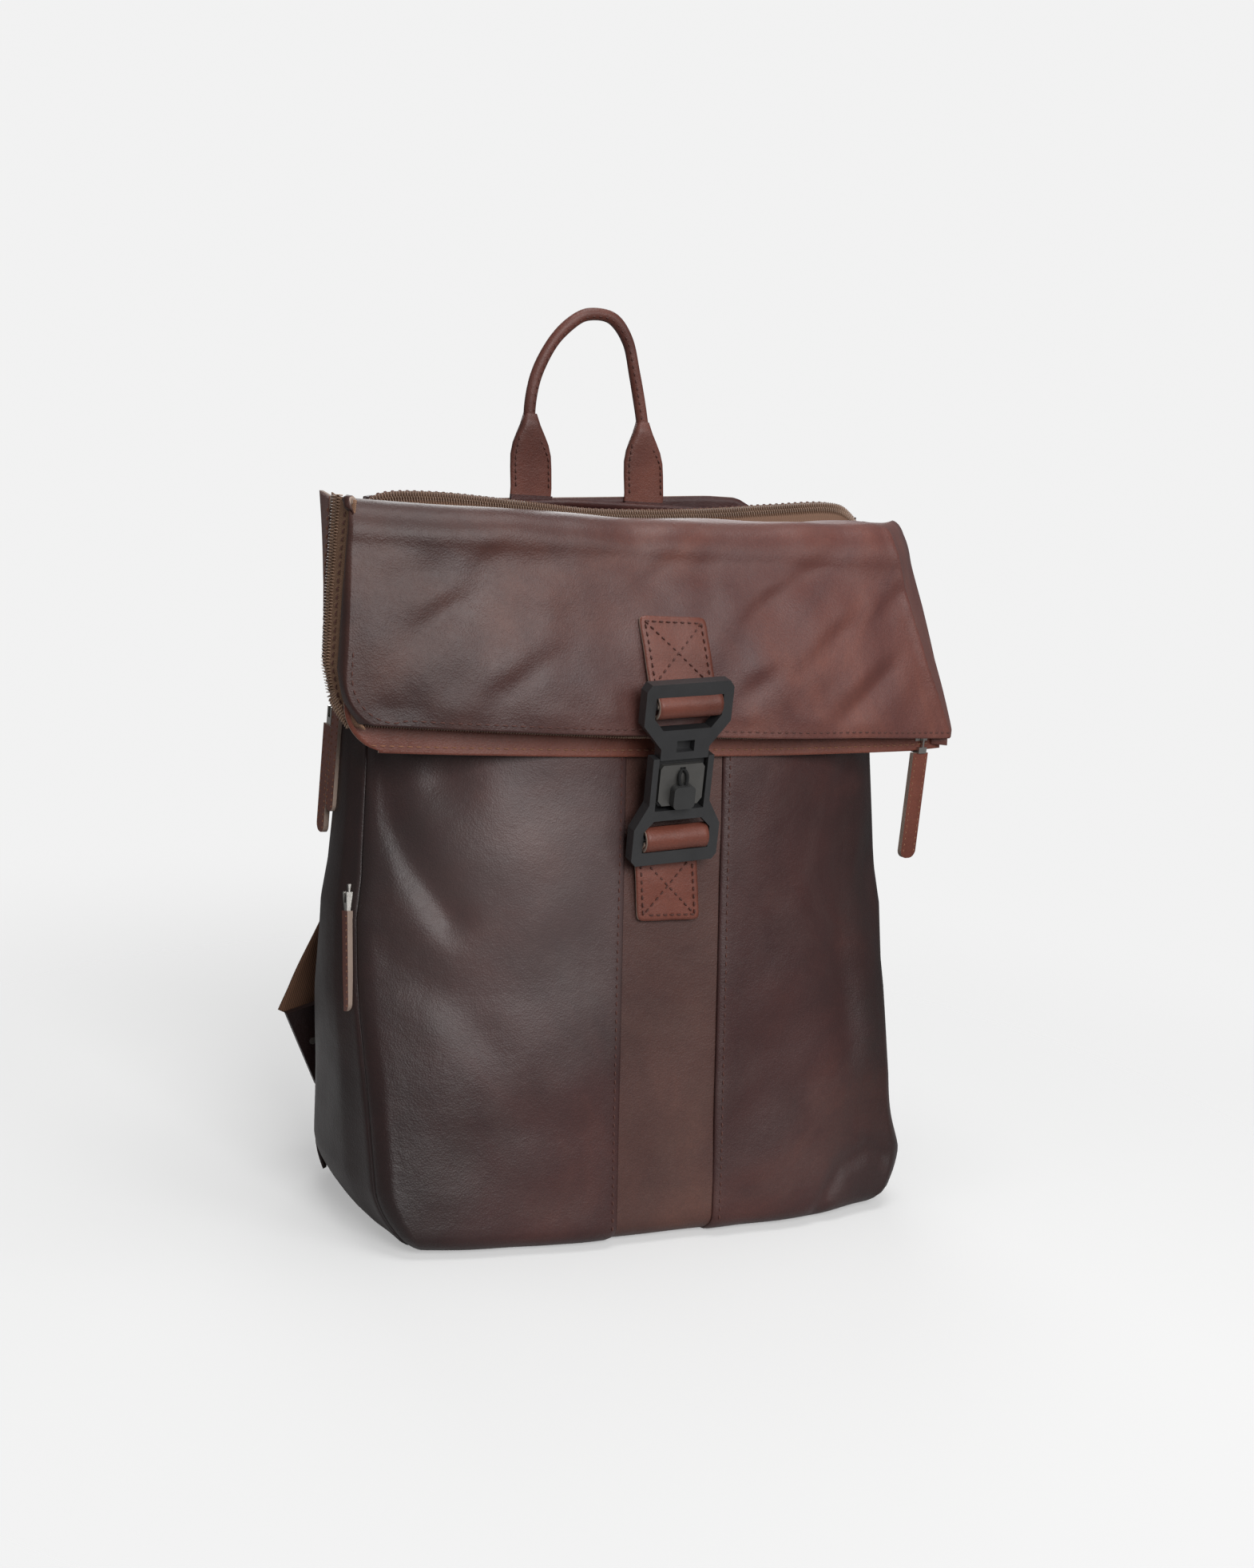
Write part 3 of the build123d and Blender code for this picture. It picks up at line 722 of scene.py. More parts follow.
def spread(x):
    return max(0.0, (abs(x) - 40) / 136)


def wrinkle(x, z):
    depth = 0.0
    for cx, cz in FOLD_WRINKLES:
        u = (x - cx) * 0.80 + (z - cz) * 0.60
        v = -(x - cx) * 0.60 + (z - cz) * 0.80
        depth += 1.1 * exp(-(u / 19) ** 2 - (v / 6.0) ** 2)
        depth -= 0.9 * exp(-(u / 22) ** 2 - ((v - 9) / 7.5) ** 2)
    return depth + wave(x, 40, z, 55, 2.4) + wave(x + z, 70, z - x, 26, 1.1)


def flap_front_y(x, z):
    """Outer face of the flap below the fold."""
    low = -37.5 + 22 * spread(x) ** 1.5
    top = HINGE_Y + 16 * spread(x) ** 2
    t = max(0.0, (FLAP_TOP - z) / (FLAP_TOP - 264))
    bend = hypot(0.4 * t + 0.6 * sin(t * pi / 2), 0.1) - 0.1
    return top + (low - top) * bend / 0.905


def flap_half(z, side):
    if side < 0:
        half = level(z, [264, 285, 328, 371], [181, 180, 178, 176])
        low = max(0.0, 288 - z)
        return half - 24 + sqrt(max(0.0, 24 ** 2 - min(low, 23.4) ** 2)) if low else half
    return level(z, [260, 266, 285, 328, 371], [176, 178, 177, 172, 160])


def fold_back(x, z):
    """The right end of the flap folds back along a slanted line, like the corner of a paper bag."""
    line = level(z, [264, 300, 371], [171, 152, 124])
    ridge = 1.6 * exp(-((x - line) / 2.6) ** 2) * level(z, [268, 300], [0, 1])
    return 0.85 * max(0.0, x - line) ** 1.05 - ridge


def lip_z(x):
    return level(x, [-171, -74, -32, 107, 178], [265.5, 265.5, 265.5, 263.5, 260.5])


def laptop_top(x):
    return level(x, [-160, -150, -140, -110, -60, -18, 40, 90, 125, 138, 147, 160],
                           [358, 361, 366, 368.5, 366.5, 364.5, 368, 373, 376, 373, 364, 360])


def fold_z(x):
    return level(x, [-176, -32, 119, 176], [371, 370, 374, 372])


def pucker(x, s):
    """Soft waves that gather the leather along the fold."""
    return exp(-((s - 0.35) / 0.08) ** 2) * wave(x, 11, s * 90, 34, 3.0)


def wrinkle_share(t, u):
    return min(1.0, 0.35 + t * 4) * min(1.0, (1 - t) * 8 + 0.15) * min(1.0, max(0.0, 1 - abs(u)) * 12)


def flap_outer_point(u, s):
    """s runs from the rear edge over the fold (about 0.32) down to the lip at 1."""
    if s < 0.30:
        k = s / 0.30
        x = u * (168 + 7 * k if u < 0 else 150 + 12 * k ** 1.5)
        near = HINGE_Y + FOLD_R + 16 * spread(x) ** 2 + (fold_back(x, 366) if x > 0 else 0)
        y = 54.5 + (near - 54.5) * k
        rear = laptop_top(x) - 9.5
        z = rear + (fold_z(x) - rear) * sin(k * pi / 2) ** 0.8
        fold = wave(x, y, 5, 50, 2.2) * sin(pi * k)
        rise = 0.7 * pucker(x, s)
        return (x, y - rise, z + fold + rise)
    if s < 0.38:
        a = (s - 0.30) / 0.08 * pi / 2
        x = u * (175 + 1.8 * (s - 0.30) / 0.08 if u < 0 else 162 + 2.6 * (s - 0.30) / 0.08)
        z = FLAP_TOP + (fold_z(x) - FLAP_TOP) * cos(a)
        shift = 16 * spread(x) ** 2 + fold_back(x, min(366, z))
        rise = 0.7 * pucker(x, s)
        crease = wrinkle(x, z) * wrinkle_share(0.0, u) * (s - 0.30) / 0.08
        return (x, HINGE_Y + FOLD_R - FOLD_R * sin(a) + shift + crease - rise, z + rise)
    t = (s - 0.38) / 0.62
    x = u * 176
    z = FLAP_TOP + (lip_z(x) - FLAP_TOP) * t
    x = u * flap_half(z, u)
    z = FLAP_TOP + (lip_z(x) - FLAP_TOP) * t
    y = flap_front_y(x, z) + fold_back(x, z)
    rise = 0.7 * pucker(x, s)
    return (x, y + wrinkle(x, z) * wrinkle_share(t, u) - rise, z + rise)


def flap_shown_y(x, z):
    """The outer flap's face with its wrinkles, for things that lie on it."""
    t = (FLAP_TOP - z) / (FLAP_TOP - lip_z(x))
    share = x / flap_half(z, x)
    return flap_front_y(x, z) + fold_back(x, z) + wrinkle(x, z) * wrinkle_share(t, share)


def flap_grid():
    us = np.concatenate([[-1.0, -0.995, -0.985], np.linspace(-0.97, 0.97, 150), [0.985, 0.995, 1.0]])
    ss = np.concatenate([np.linspace(0, 0.29, 16), np.linspace(0.30, 0.38, 14), np.linspace(0.39, 0.985, 76),
                         [0.993, 1.0]])
    return us, ss


def flap_blend(obj, inner=False):
    start = to_frame((0, -3, 350)) if inner else to_frame((0, 5, 371))
    end = to_frame((0, -10, 330)) if inner else to_frame((0, -16, 345))
    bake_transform(obj)


def build_flap():
    us, ss = flap_grid()
    pts = np.array([[flap_outer_point(u, s) for u in us] for s in ss])
    turn = []
    for row in pts:
        x, y, z = row[0]
        if z < 371 and y < 30:
            end = np.array(wing_point(-0.8, max(z, 262), 0.0))
            end[2] = z
        else:
            end = np.array([x - 0.5, y, z - 3])
        turn.append([row[0] * (1 - k) + end * k - np.array([1.5 * sin(pi * k), 0, 0])
                     for k in (1.0, 0.8, 0.6, 0.4, 0.2)])
    pts = np.concatenate([np.array(turn), pts], axis=1)
    skin("flap_leather", pts, FLAP, "flap_leather", flap_blend, "flap_outer", thick=2.2, rim=RAW, flip=True)
    flat = [(-176.5 - 0.5 * k, 300 - 12 * k) for k in np.linspace(0, 1, 6)]
    flat += [(-156 - 20.8 * cos(a), 288 - 20.8 * sin(a)) for a in np.linspace(0.05, pi / 2, 24)]
    flat += [(x, lip_z(x) + 3.2) for x in np.linspace(-150, 171, 200)]
    line = [(x, flap_shown_y(x, z) - 0.15, z) for x, z in flat]
    settle(stitches("flap_stitches", [line], [(0, -1, 0.15)], THREAD, length=3.2, gap=1.4), "flap_leather",
           "flap")


def inner_lip_z(x):
    return level(x, [-170, -150, 0, 150, 176], [250.5, 250.5, 251.5, 252.5, 254])


def inner_point(u, t):
    z = 352 + (inner_lip_z(u * 172) - 352) * t
    if u < 0:
        low_part = min(max(0.0, 273 - z), 21.5)
        half = 177 - (22 - sqrt(22 ** 2 - low_part ** 2))
    else:
        half = min(176.0, flap_half(z, 1) - 5)
    x = u * half
    low = -22.0 + 14 * spread(x) ** 1.4
    top = HINGE_Y + 15 + 12 * spread(x) ** 2
    y = top + (low - top) * t ** 0.8 + 0.8 * max(0.0, fold_back(x, z))
    return (x, y + wave(x, 90, z, 45, 1.2) * min(1.0, 6 * (1 - t)), z)


def build_inner_flap():
    us = np.linspace(-1, 1, 110)
    ts = np.concatenate([np.linspace(0, 0.96, 40), [0.975, 0.99, 1.0]])
    pts = np.array([[inner_point(u, t) for u in us] for t in ts])
    inner = sheet_mesh("flap_inner_leather", pts, TRIM, thick=2.0, rim=RAW, flip=True)
    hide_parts("flap_inner")
    flap_blend(inner, True)
    line = []
    for u in np.linspace(-0.985, 0.97, 240):
        x, y, z = inner_point(u, 0.965)
        line.append((x, y - 0.2, z))
    settle(stitches("flap_inner_stitches", [line], [(0, -1, 0)], THREAD_LIGHT, length=3.0, gap=1.4),
           "trim_leather", "flap")


WING_Z = [264, 275, 325, 371]


def wing_point(edge, z, t):
    """Left end of the flap: t 0 at the outer leather's edge, 1 at the tape's rear, 2 at the rear sliver."""
    a = level(z, WING_Z, [-14, 2, 6, 9])
    b = level(z, WING_Z, [8, 22, 32, 42])
    c = level(z, WING_Z, [14, 28, 47, 71])
    y = a + (b - a) * t if t <= 1 else b + (c - b) * (t - 1)
    x = -level(z, [260, 270, 290, 328, 371], [168, 174, 178.5, 177.5, 175]) + edge
    lift = 2.4 * sin(pi * min(1.0, t)) if t <= 1 else -4 * (t - 1)
    return (x - lift, y, z)


def build_wings():
    zs = np.linspace(262, 369, 50)
    pts = np.array([[wing_point(-0.9, z, t) for t in np.linspace(0.93, 2, 9)] for z in zs])
    pts[:, :, 0] += np.array([[wave(4, p[1], p[2], 40, 0.9) for p in row] for row in pts])
    skin("wing_leather_left", pts, TRIM, "trim_leather", flap_blend, "flap_gusset_left", thick=1.8,
         flip=True, rim=RAW)
    line = [wing_point(-1.0, z, 1.12) for z in np.linspace(266, 364, 90)]
    settle(stitches("wing_stitches_left", [line], [(-1, 0, 0)], THREAD_LIGHT), "trim_leather", flap_blend)
    rows = []
    for z in np.linspace(256, 370, 40):
        front = flap_front_y(170, z) + fold_back(flap_half(z, 1), z) + 1
        half = flap_half(z, 1) - 2
        deep = level(z, [256, 371], [3, 26])
        rows.append([(half - 9 * t - wave(9, z, t * 9, 20, 2.0), front + deep * t, z)
                     for t in np.linspace(0, 1, 12)])
    skin("wing_leather_right", np.array(rows), FLAP, "flap_leather", flap_blend, "flap_gusset_right",
         thick=1.8)


# ---- zips

def tape_sheet(name, path, side, half, lift=0.0, normal=(0, 0, 1)):
    line = resample(path, 2.0)
    side = np.broadcast_to(np.asarray(side, float), line.shape)
    offsets = np.linspace(-half, half, 7)
    pts = line[:, None, :] + side[:, None, :] * offsets[None, :, None] + np.asarray(normal, float) * lift
    return sheet_mesh(name, pts, TAPE, thick=0.7)


def laptop_path():
    return smooth_path([(-150.5, 65, 244), (-151, 65, 290), (-150.5, 66, 330), (-149.5, 65, 354),
                        (-141, 64, 366),
                        (-110, 63, 368.8), (-60, 62, 366.8), (-18, 62, 365), (40, 62, 368), (90, 62, 373),
                        (124, 62, 376), (139, 64, 372), (148, 65, 361), (150.5, 66, 335), (151, 65, 290),
                        (150.5, 65, 244)], 400)


def outward(line):
    tangent = np.gradient(line, axis=0)
    tangent /= np.linalg.norm(tangent, axis=1)[:, None]
    n = np.stack([-tangent[:, 2], np.zeros(len(line)), tangent[:, 0]], -1)
    return n / np.linalg.norm(n, axis=1)[:, None]


def zip_face(line):
    """Facing of the laptop zip: outward on its legs, tipped forward along the top."""
    out = outward(line)
    tip = np.clip(out[:, 2:3], 0, 1) ** 2 * radians(60)
    face = out * np.cos(tip) - np.array([0, 1.0, 0]) * np.sin(tip)
    return face / np.linalg.norm(face, axis=1)[:, None]


def build_laptop_zip():
    path = laptop_path()
    line = resample(path, 2.0)
    out = outward(line)
    top_share = np.clip(out[:, 2], 0, 1) ** 2
    top_y = np.array([-8.6, -7.0, -5.2, -2.6, 0, 2.6, 4.6, 7.5, 11.0, 14.0])
    top_z = np.array([-9.6, -7.6, -5.2, -2.4, 0, 2.2, 3.0, 2.6, 0.4, -3.0])
    side_y = np.array([-8.0, -6.5, -4.5, -2.2, 0, 2.2, 4.5, 6.0, 7.2, 8.0])
    side_z = np.array([-1.0, -0.2, 0.4, 0.8, 0.9, 0.8, 0.5, 0.2, -0.2, -0.6])
    across = top_share[:, None] * top_y + (1 - top_share[:, None]) * side_y
    rise = top_share[:, None] * top_z + (1 - top_share[:, None]) * side_z
    pts = line[:, None, :] + np.array([0, 1.0, 0]) * across[:, :, None] + out[:, None, :] * rise[:, :, None]
    skin("laptop_tape", pts, TAPE, "zip_tape", "bag", "laptop_zip_tape", thick=0.7, flip=True)
    face = zip_face(path)
    teeth = coil_teeth("laptop_coil", path + face * 0.4, zip_face, width=6.6, pitch=1.45, height=2.0)
    settle(teeth, "zip_coil", "bag", "laptop_zip_teeth")
    rows = []
    for k in (1, 7):
        rows.append(pts[:, k] + zip_face(line) * 0.15)
    settle(stitches("laptop_tape_stitches", rows, [zip_face(line), out], THREAD, length=2.6, gap=1.3),
           "zip_tape", "bag")


def pocket_path():
    lean = atan(30 / 120)
    return np.array([(-150.5 - 4.2 * sin(pi * k) ** 0.5, 11 + (k - 0.5) * 116 * sin(lean),
                      128 + (k - 0.5) * 116 * cos(lean)) for k in np.linspace(0.0, 1.0, 60)])


def build_pocket_zip():
    path = pocket_path()
    path[:, 0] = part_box("pocket_zip_teeth")[0].x / MM + 1.6
    tape = tape_sheet("pocket_tape", path, (0, 1, 0), 7.5, 0.0)
    settle(tape, "zip_tape", "bag", "pocket_zip_tape")
    teeth = coil_teeth("pocket_coil", path - np.array([0.3, 0, 0]),
                       lambda line: np.tile([-1.0, 0, 0], (len(line), 1)))
    settle(teeth, "zip_coil", "bag", "pocket_zip_teeth")


def build_mouth_zip():
    xs = np.linspace(-168, 168, 160)
    path = np.array([(x, -30.25 + 24.5 * spread(x), 265.0) for x in xs])
    tape = tape_sheet("mouth_tape", path, (0, 1, 0), 4.0)
    thread_path = path - np.array([0, 0, 0.9])
    teeth = coil_teeth("mouth_coil", thread_path, lambda line: np.tile([0, 0, -1.0], (len(line), 1)),
                       width=4.4)
    zs = np.linspace(263, 371, 60)
    # The tape and coil at the flap's left end use the lighter copies, which are painted light.
    pts = np.array([[wing_point(-0.2, z, t) for t in np.linspace(-0.06, 1, 9)] for z in zs])
    side = sheet_mesh("mouth_tape_side", pts, TAPE_PAINTED_LIGHT, thick=0.7, flip=True)
    line = np.array([wing_point(0.2, z, 0.5) for z in np.linspace(264, 371, 80)])
    run = coil_teeth("mouth_coil_side", line, lambda line: np.tile([-0.95, -0.3, 0], (len(line), 1)),
                     width=7.4, pitch=1.5, height=2.2, material=COIL_PAINTED_LIGHT)
    tape = join("mouth_tape", [tape, side])
    teeth = join("mouth_coil", [teeth, run])
    for piece, node, slot in ((tape, "mouth_zip_tape", "zip_tape"), (teeth, "mouth_zip_teeth", "zip_coil")):
        settle(piece, slot, flap_blend, node)
    rows = [[wing_point(-0.9, z, t) for z in np.linspace(268, 366, 80)] for t in (0.16, 0.84)]
    settle(stitches("mouth_tape_stitches", rows, [(-1, 0, 0), (-1, 0, 0)], THREAD, length=2.6, gap=1.3),
           "zip_tape", flap_blend)


def pull_strip(name, node, thread_name, body, facing):
    """A leather zip pull over the CAD strip: two layers with a row of stitches along each long edge and a raw
    edge.
    """
    mesh = frame["nodes"][node].data.copy()
    obj = bpy.data.objects.new(name, mesh)
    bpy.context.scene.collection.objects.link(obj)
    mesh.materials.clear()
    mesh.materials.append(TRIM)
    mesh.materials.append(RAW)
    facing = Vector(facing).normalized()
    for poly in mesh.polygons:
        poly.material_index = 0 if abs(poly.normal.dot(facing)) > 0.6 else 1
        poly.use_smooth = False
    settle(obj, "trim_leather", body, node)
    verts = np.array([v.co for v in mesh.vertices])
    low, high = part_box(node)
    centre = (np.array(low) + np.array(high)) / 2
    spread_axes = np.linalg.svd(verts - verts.mean(axis=0))[2]
    along = spread_axes[0]
    facing = np.array(facing) - along * float(np.dot(facing, along))
    facing /= np.linalg.norm(facing)
    across = np.cross(facing, along)
    half = np.abs((verts - centre) @ across).max() - 0.0017
    deep = np.abs((verts - centre) @ facing).max()
    reach = np.abs((verts - centre) @ along).max() - 0.0022
    rows = []
    for k in (-1, 1):
        row = [centre + across * half * k + facing * deep + along * z for z in np.linspace(-reach, reach, 30)]
        rows.append((np.array(row) - np.array([0, SHIFT, 0])) / MM)
    settle(stitches(thread_name, rows, [facing, facing], THREAD_LIGHT, length=2.2, gap=1.2, width=0.36),
           "trim_leather", body)


def show_hard(node, material, width=0.35):
    """Shows the CAD piece itself with softened edges."""
    obj = frame["nodes"][node]
    obj.data.materials.clear()
    obj.data.materials.append(material)
    edge = obj.modifiers.new("edge", "BEVEL")
    edge.width = width * MM
    edge.segments = 3
    edge.limit_method = "ANGLE"
    edge.angle_limit = radians(35)
    edge.harden_normals = False
    for poly in obj.data.polygons:
        poly.use_smooth = True
    obj.data.set_sharp_from_angle(angle=radians(38))


def build_pulls():
    for name in ("lower", "upper"):
        pull_strip(f"laptop_pull_leather_{name}", f"laptop_pull_{name}", f"laptop_pull_stitches_{name}",
                   f"laptop_zip_pull_{name}", (-1, 0, 0))
    pull_strip("pocket_pull_leather", "pocket_pull", "pocket_pull_stitches", "pocket_zip_pull", (-1, 0, 0))
    slope = atan(24.5 / 136)
    pull_strip("mouth_pull_leather", "mouth_pull", "mouth_pull_stitches", "mouth_zip_pull",
               (sin(slope), -cos(slope), 0))
    for node in ("mouth_slider", "mouth_link", "laptop_slider_lower", "laptop_slider_upper",
                 "laptop_link_lower",
                 "laptop_link_upper", "pocket_slider", "pocket_link", "tab_screws"):
        show_hard(node, NICKEL, 0.4)


# ---- buckle and its leather

def buckle_basis():
    """Right, out and up directions of the tilted buckle, and its centre, from its two joints."""
    joint = next(j for j in frame["joints"] if j["name"] == "release_plate_slide")
    up = np.array(joint["axis"], float)
    up /= np.linalg.norm(up)
    pivot = next(j for j in frame["joints"] if j["name"] == "upper_buckle_pivot")
    right = -np.array(pivot["axis"], float)
    right /= np.linalg.norm(right)
    out = -np.cross(up, right)
    out = out if out[1] < 0 else -out
    centre = (np.array(pivot["pos_m"], float) - up * 36 * MM - np.array([0, SHIFT, 0])) / MM
    return right, out, up, centre


def buckle_to_design(p):
    right, out, up, centre = buckle_basis()
    p = np.asarray(p, float)
    return centre + p[..., 0:1] * right + p[..., 1:2] * out + p[..., 2:3] * up


def x_box(name, corners, normal, body, material=None):
    """Box stitching with a cross in it, given four corners in order."""
    c = [np.asarray(v, float) for v in corners]
    ends = [(0, 1), (1, 2), (2, 3), (3, 0), (0, 2), (1, 3)]
    rows = [np.array([c[i], c[k]]) for i, k in ends]
    settle(stitches(name, rows, [normal] * 6, material or THREAD, length=2.6, gap=1.2, width=0.48, lift=0.2),
           "trim_leather", body)


def square_round(a, b, c, d, u, v):
    """A place on the four-sided patch, with its corners drawn in."""
    p, q = 2 * u - 1, 2 * v - 1
    reach = (abs(p) ** 14 + abs(q) ** 14) ** (1 / 14)
    scale = max(abs(p), abs(q)) / reach if reach > 0 else 1.0
    u, v = 0.5 + p * scale / 2, 0.5 + q * scale / 2
    return (a * (1 - u) + b * u) * (1 - v) + (d * (1 - u) + c * u) * v


def patch_sheet(name, node, corners, body, bulge=0.8):
    """A sewn leather patch between four corners: top left, top right, bottom right, bottom left."""
    a, b, c, d = [np.asarray(v, float) for v in corners]
    ts = np.linspace(0, 1, 26)
    pts = np.array([[square_round(a, b, c, d, u, v) for u in ts] for v in ts])
    normal = np.cross(d - a, b - a)
    normal /= np.linalg.norm(normal)
    if normal[1] > 0:
        normal = -normal
    swell = np.array([[sin(pi * u) ** 0.4 * sin(pi * v) ** 0.4 for u in ts] for v in ts])
    rough = np.array([[wave(u * 30, v * 30, a[2], 9, 0.5) for u in ts] for v in ts])
    pts += (swell * bulge + rough)[..., None] * normal
    sheet = sheet_mesh(name, pts, TRIM, thick=2.2, rim=RAW, flip=True)
    if node:
        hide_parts(node)
    settle(sheet, "trim_leather", body)
    inset = []
    middle = (a + b + c + d) / 4
    for v in (a, b, c, d):
        inset.append(v + (middle - v) / np.linalg.norm(middle - v) * 4.2 + normal * (bulge + 0.1))
    x_box(f"{name}_stitches", inset, normal, body)


def roll_loop(name, node, bar, body, tail):
    """Leather wrapped round the buckle's bar, with its tail going to the patch."""
    line = []
    for a in np.linspace(-100, 190, 26):
        r = radians(a)
        line.append((4.6 * cos(r), 4.6 * sin(r)))
    sign = 1 if bar > 0 else -1
    rows = []
    for x in np.linspace(-17.8, 17.8, 16):
        rows.append([buckle_to_design((x, o + wave(x, 3, z, 9, 0.4), bar + sign * z)) for z, o in line])
    pts = np.array(rows)
    loop = sheet_mesh(name, pts, TRIM, thick=2.0, rim=RAW, flip=bar > 0)
    cover = sheet_mesh(name + "_tail", tail, TRIM, thick=2.0, rim=RAW, flip=True)
    loop = join(name, [loop, cover])
    settle(loop, "trim_leather", body, node)


def tail_grid(p_left, p_right, q_left, q_right, bow=0.8):
    a, b = np.asarray(p_left, float), np.asarray(p_right, float)
    c, d = np.asarray(q_left, float), np.asarray(q_right, float)
    pts = []
    for v in np.linspace(0, 1, 14):
        left, right = a + (c - a) * v, b + (d - b) * v
        pts.append([left + (right - left) * u + np.array([0, -bow * sin(pi * v), 0])
                    for u in np.linspace(0, 1, 14)])
    return np.array(pts)


def build_buckle():
    for node, material, width in (("upper_frame", BLACK, 0.8), ("lower_frame", BLACK, 0.8),
                                  ("release_plate", GREY, 0.5), ("upper_magnet", NICKEL, 0.2),
                                  ("lower_magnet", NICKEL, 0.2), ("release_tab", RUBBER, 0.8)):
        show_hard("buckle_" + node, material, width)
    out = buckle_basis()[1]
    loop = [(0, 2.2, 2.2), (-1.2, 3.6, 1.6), (-2.2, 4.4, -0.5), (-2.0, 5.0, -4.0), (-0.8, 5.6, -7.5),
            (0.8, 5.6, -7.5), (2.0, 5.0, -4.0), (2.2, 4.4, -0.5), (1.2, 3.6, 1.6), (0, 2.2, 2.2)]
    path = smooth_path(buckle_to_design(np.array(loop)), 90)
    cord = tube("release_cord_loop", path, 0.9, CORD, 10, up=tuple(out), caps=False)
    settle(cord, "cord_black", "release_tab", "buckle_release_cord")


def patch_box(node):
    low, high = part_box(node)
    return low[0] / MM, high[0] / MM, low[2] / MM, high[2] / MM


def build_patches():
    x0, x1, bottom, top = patch_box("upper_patch")
    corners = [(x, flap_front_y(x, z) - 1.0 - sink, z)
               for x, z, sink in ((x0, top, 1.4), (x1, top, 1.4), (x1 + 5, bottom, 2.2),
                                  (x0 + 5, bottom, 2.2))]
    patch_sheet("upper_patch_leather", "upper_patch", corners, "flap")
    inward = np.array((0, -0.4, 2))
    roll_loop("upper_loop_leather", "upper_leather_loop", 36, "flap",
              tail_grid(corners[3] + inward, corners[2] + inward,
                        buckle_to_design((-17.8, 4.4, 37.5)), buckle_to_design((17.8, 4.4, 37.5))))
    x0, x1, bottom, top = patch_box("lower_patch")
    corners = [(x0 - 3, strip_y(top) - 3.4, top), (x1 - 3, strip_y(top) - 3.4, top),
               (x1, strip_y(bottom) - 2.6, bottom), (x0, strip_y(bottom) - 2.6, bottom)]
    patch_sheet("lower_patch_leather", "lower_patch", corners, "bag")
    inward = np.array((0, -0.4, -2))
    roll_loop("lower_loop_leather", "lower_leather_loop", -36, "bag",
              tail_grid(buckle_to_design((-17.8, 4.2, -37.5)), buckle_to_design((17.8, 4.2, -37.5)),
                        corners[0] + inward, corners[1] + inward))


# ---- handle

HANDLE_LINE = [(-51, 84, 404), (-54, 84, 416), (-52, 84, 435), (-44, 84, 453), (-33, 84, 465),
               (-23, 84, 469.5), (-10, 84, 468), (0, 84, 457), (6, 84, 440), (12, 84, 420), (16, 84, 404)]
# Height, half width and half depth of the flared ends.
FLARE_RINGS = [(360, 12, 1.3), (370, 12, 1.4), (376, 12, 1.6), (386, 12, 2.0), (393, 11.7, 2.4),
               (399, 10.2, 3.1), (404, 7.9, 3.7), (409, 5.4, 3.9), (415, 3.3, 3.4)]


def handle_blend(obj):
    Vector(to_frame((0, 84, 368)))
    Vector(to_frame((0, 84, 384)))
    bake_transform(obj)


def build_handle():
    path = smooth_path(HANDLE_LINE, 160)
    count = len(path)
    radius = np.full(count, 3.3)
    radius += np.array([wave(i * 0.5, 3, 9, 9, 0.35) for i in range(count)])
    grip = tube("handle_leather", path, radius, HANDLE, 20, up=(0, 1, 0), squash=0.9)
    settle(grip, "trim_leather", "handle", "handle_grip", "handle_core")
    side = frames_along(path, (0, 1, 0))[1]
    seam = path - np.array([0, 1, 0]) * 2.75 - side * 1.2
    settle(stitches("handle_stitches", [seam], [(0, -1, 0)], THREAD, length=2.6, gap=1.3), "trim_leather",
           "handle")
    flares, rows, ups = [], [], []
    for x_low, x_neck in ((-49, -54), (19, 13)):
        pts = []
        for z, half, bend in FLARE_RINGS:
            t = (z - 374.5) / 45
            x = x_low + (x_neck - x_low) * max(0.0, min(1.0, t))
            ring = []
            for a in np.linspace(0, 2 * pi, 28, endpoint=False):
                flat = copysign(abs(cos(a)) ** 0.55, cos(a))
                thick = copysign(abs(sin(a)) ** 0.7, sin(a))
                ring.append((x + half * flat, 84 + bend * thick, z))
            pts.append(ring)
        pts = np.array(pts)
        faces = grid_faces(len(pts), 28, wrap=True)
        faces += [tuple(range(28))[::-1], tuple(range(8 * 28, 9 * 28))]
        flares.append(mesh_object("flare", to_frame(pts).reshape(-1, 3), faces, HANDLE))
        for k in (-1, 1):
            reach = x_neck - x_low
            rows.append(smooth_path([(x_low + k * 9.6, 82.2, 376), (x_low + k * 9.6 + reach * .25, 82.0, 386),
                                     (x_low + k * 9.2 + reach * .45, 81.5, 393),
                                     (x_neck + k * 5.6, 80.7, 403)], 40))
            ups.append((0, -1, 0))
    flare = join("handle_flare_leather", flares)
    settle(flare, "trim_leather", handle_blend, "handle_flares")
    settle(stitches("handle_flare_stitches", rows, ups, THREAD, length=2.4, gap=1.3), "trim_leather",
           handle_blend)


# ---- straps

def strap_frame(side):
    low = np.array([side * 151.0, 89.0, 96.0])
    top = np.array([side * 45.0, 99.0, 312.0])
    up = (top - low) / np.linalg.norm(top - low)
    across = np.cross((0, 1, 0), up)
    across /= np.linalg.norm(across)
    out = np.cross(up, across)
    return low, across, out, up, float(np.linalg.norm(top - low))


def strap_point(side, x, y, z):
    low, across, out, up, _ = strap_frame(side)
    return low + across * x + out * y + up * z


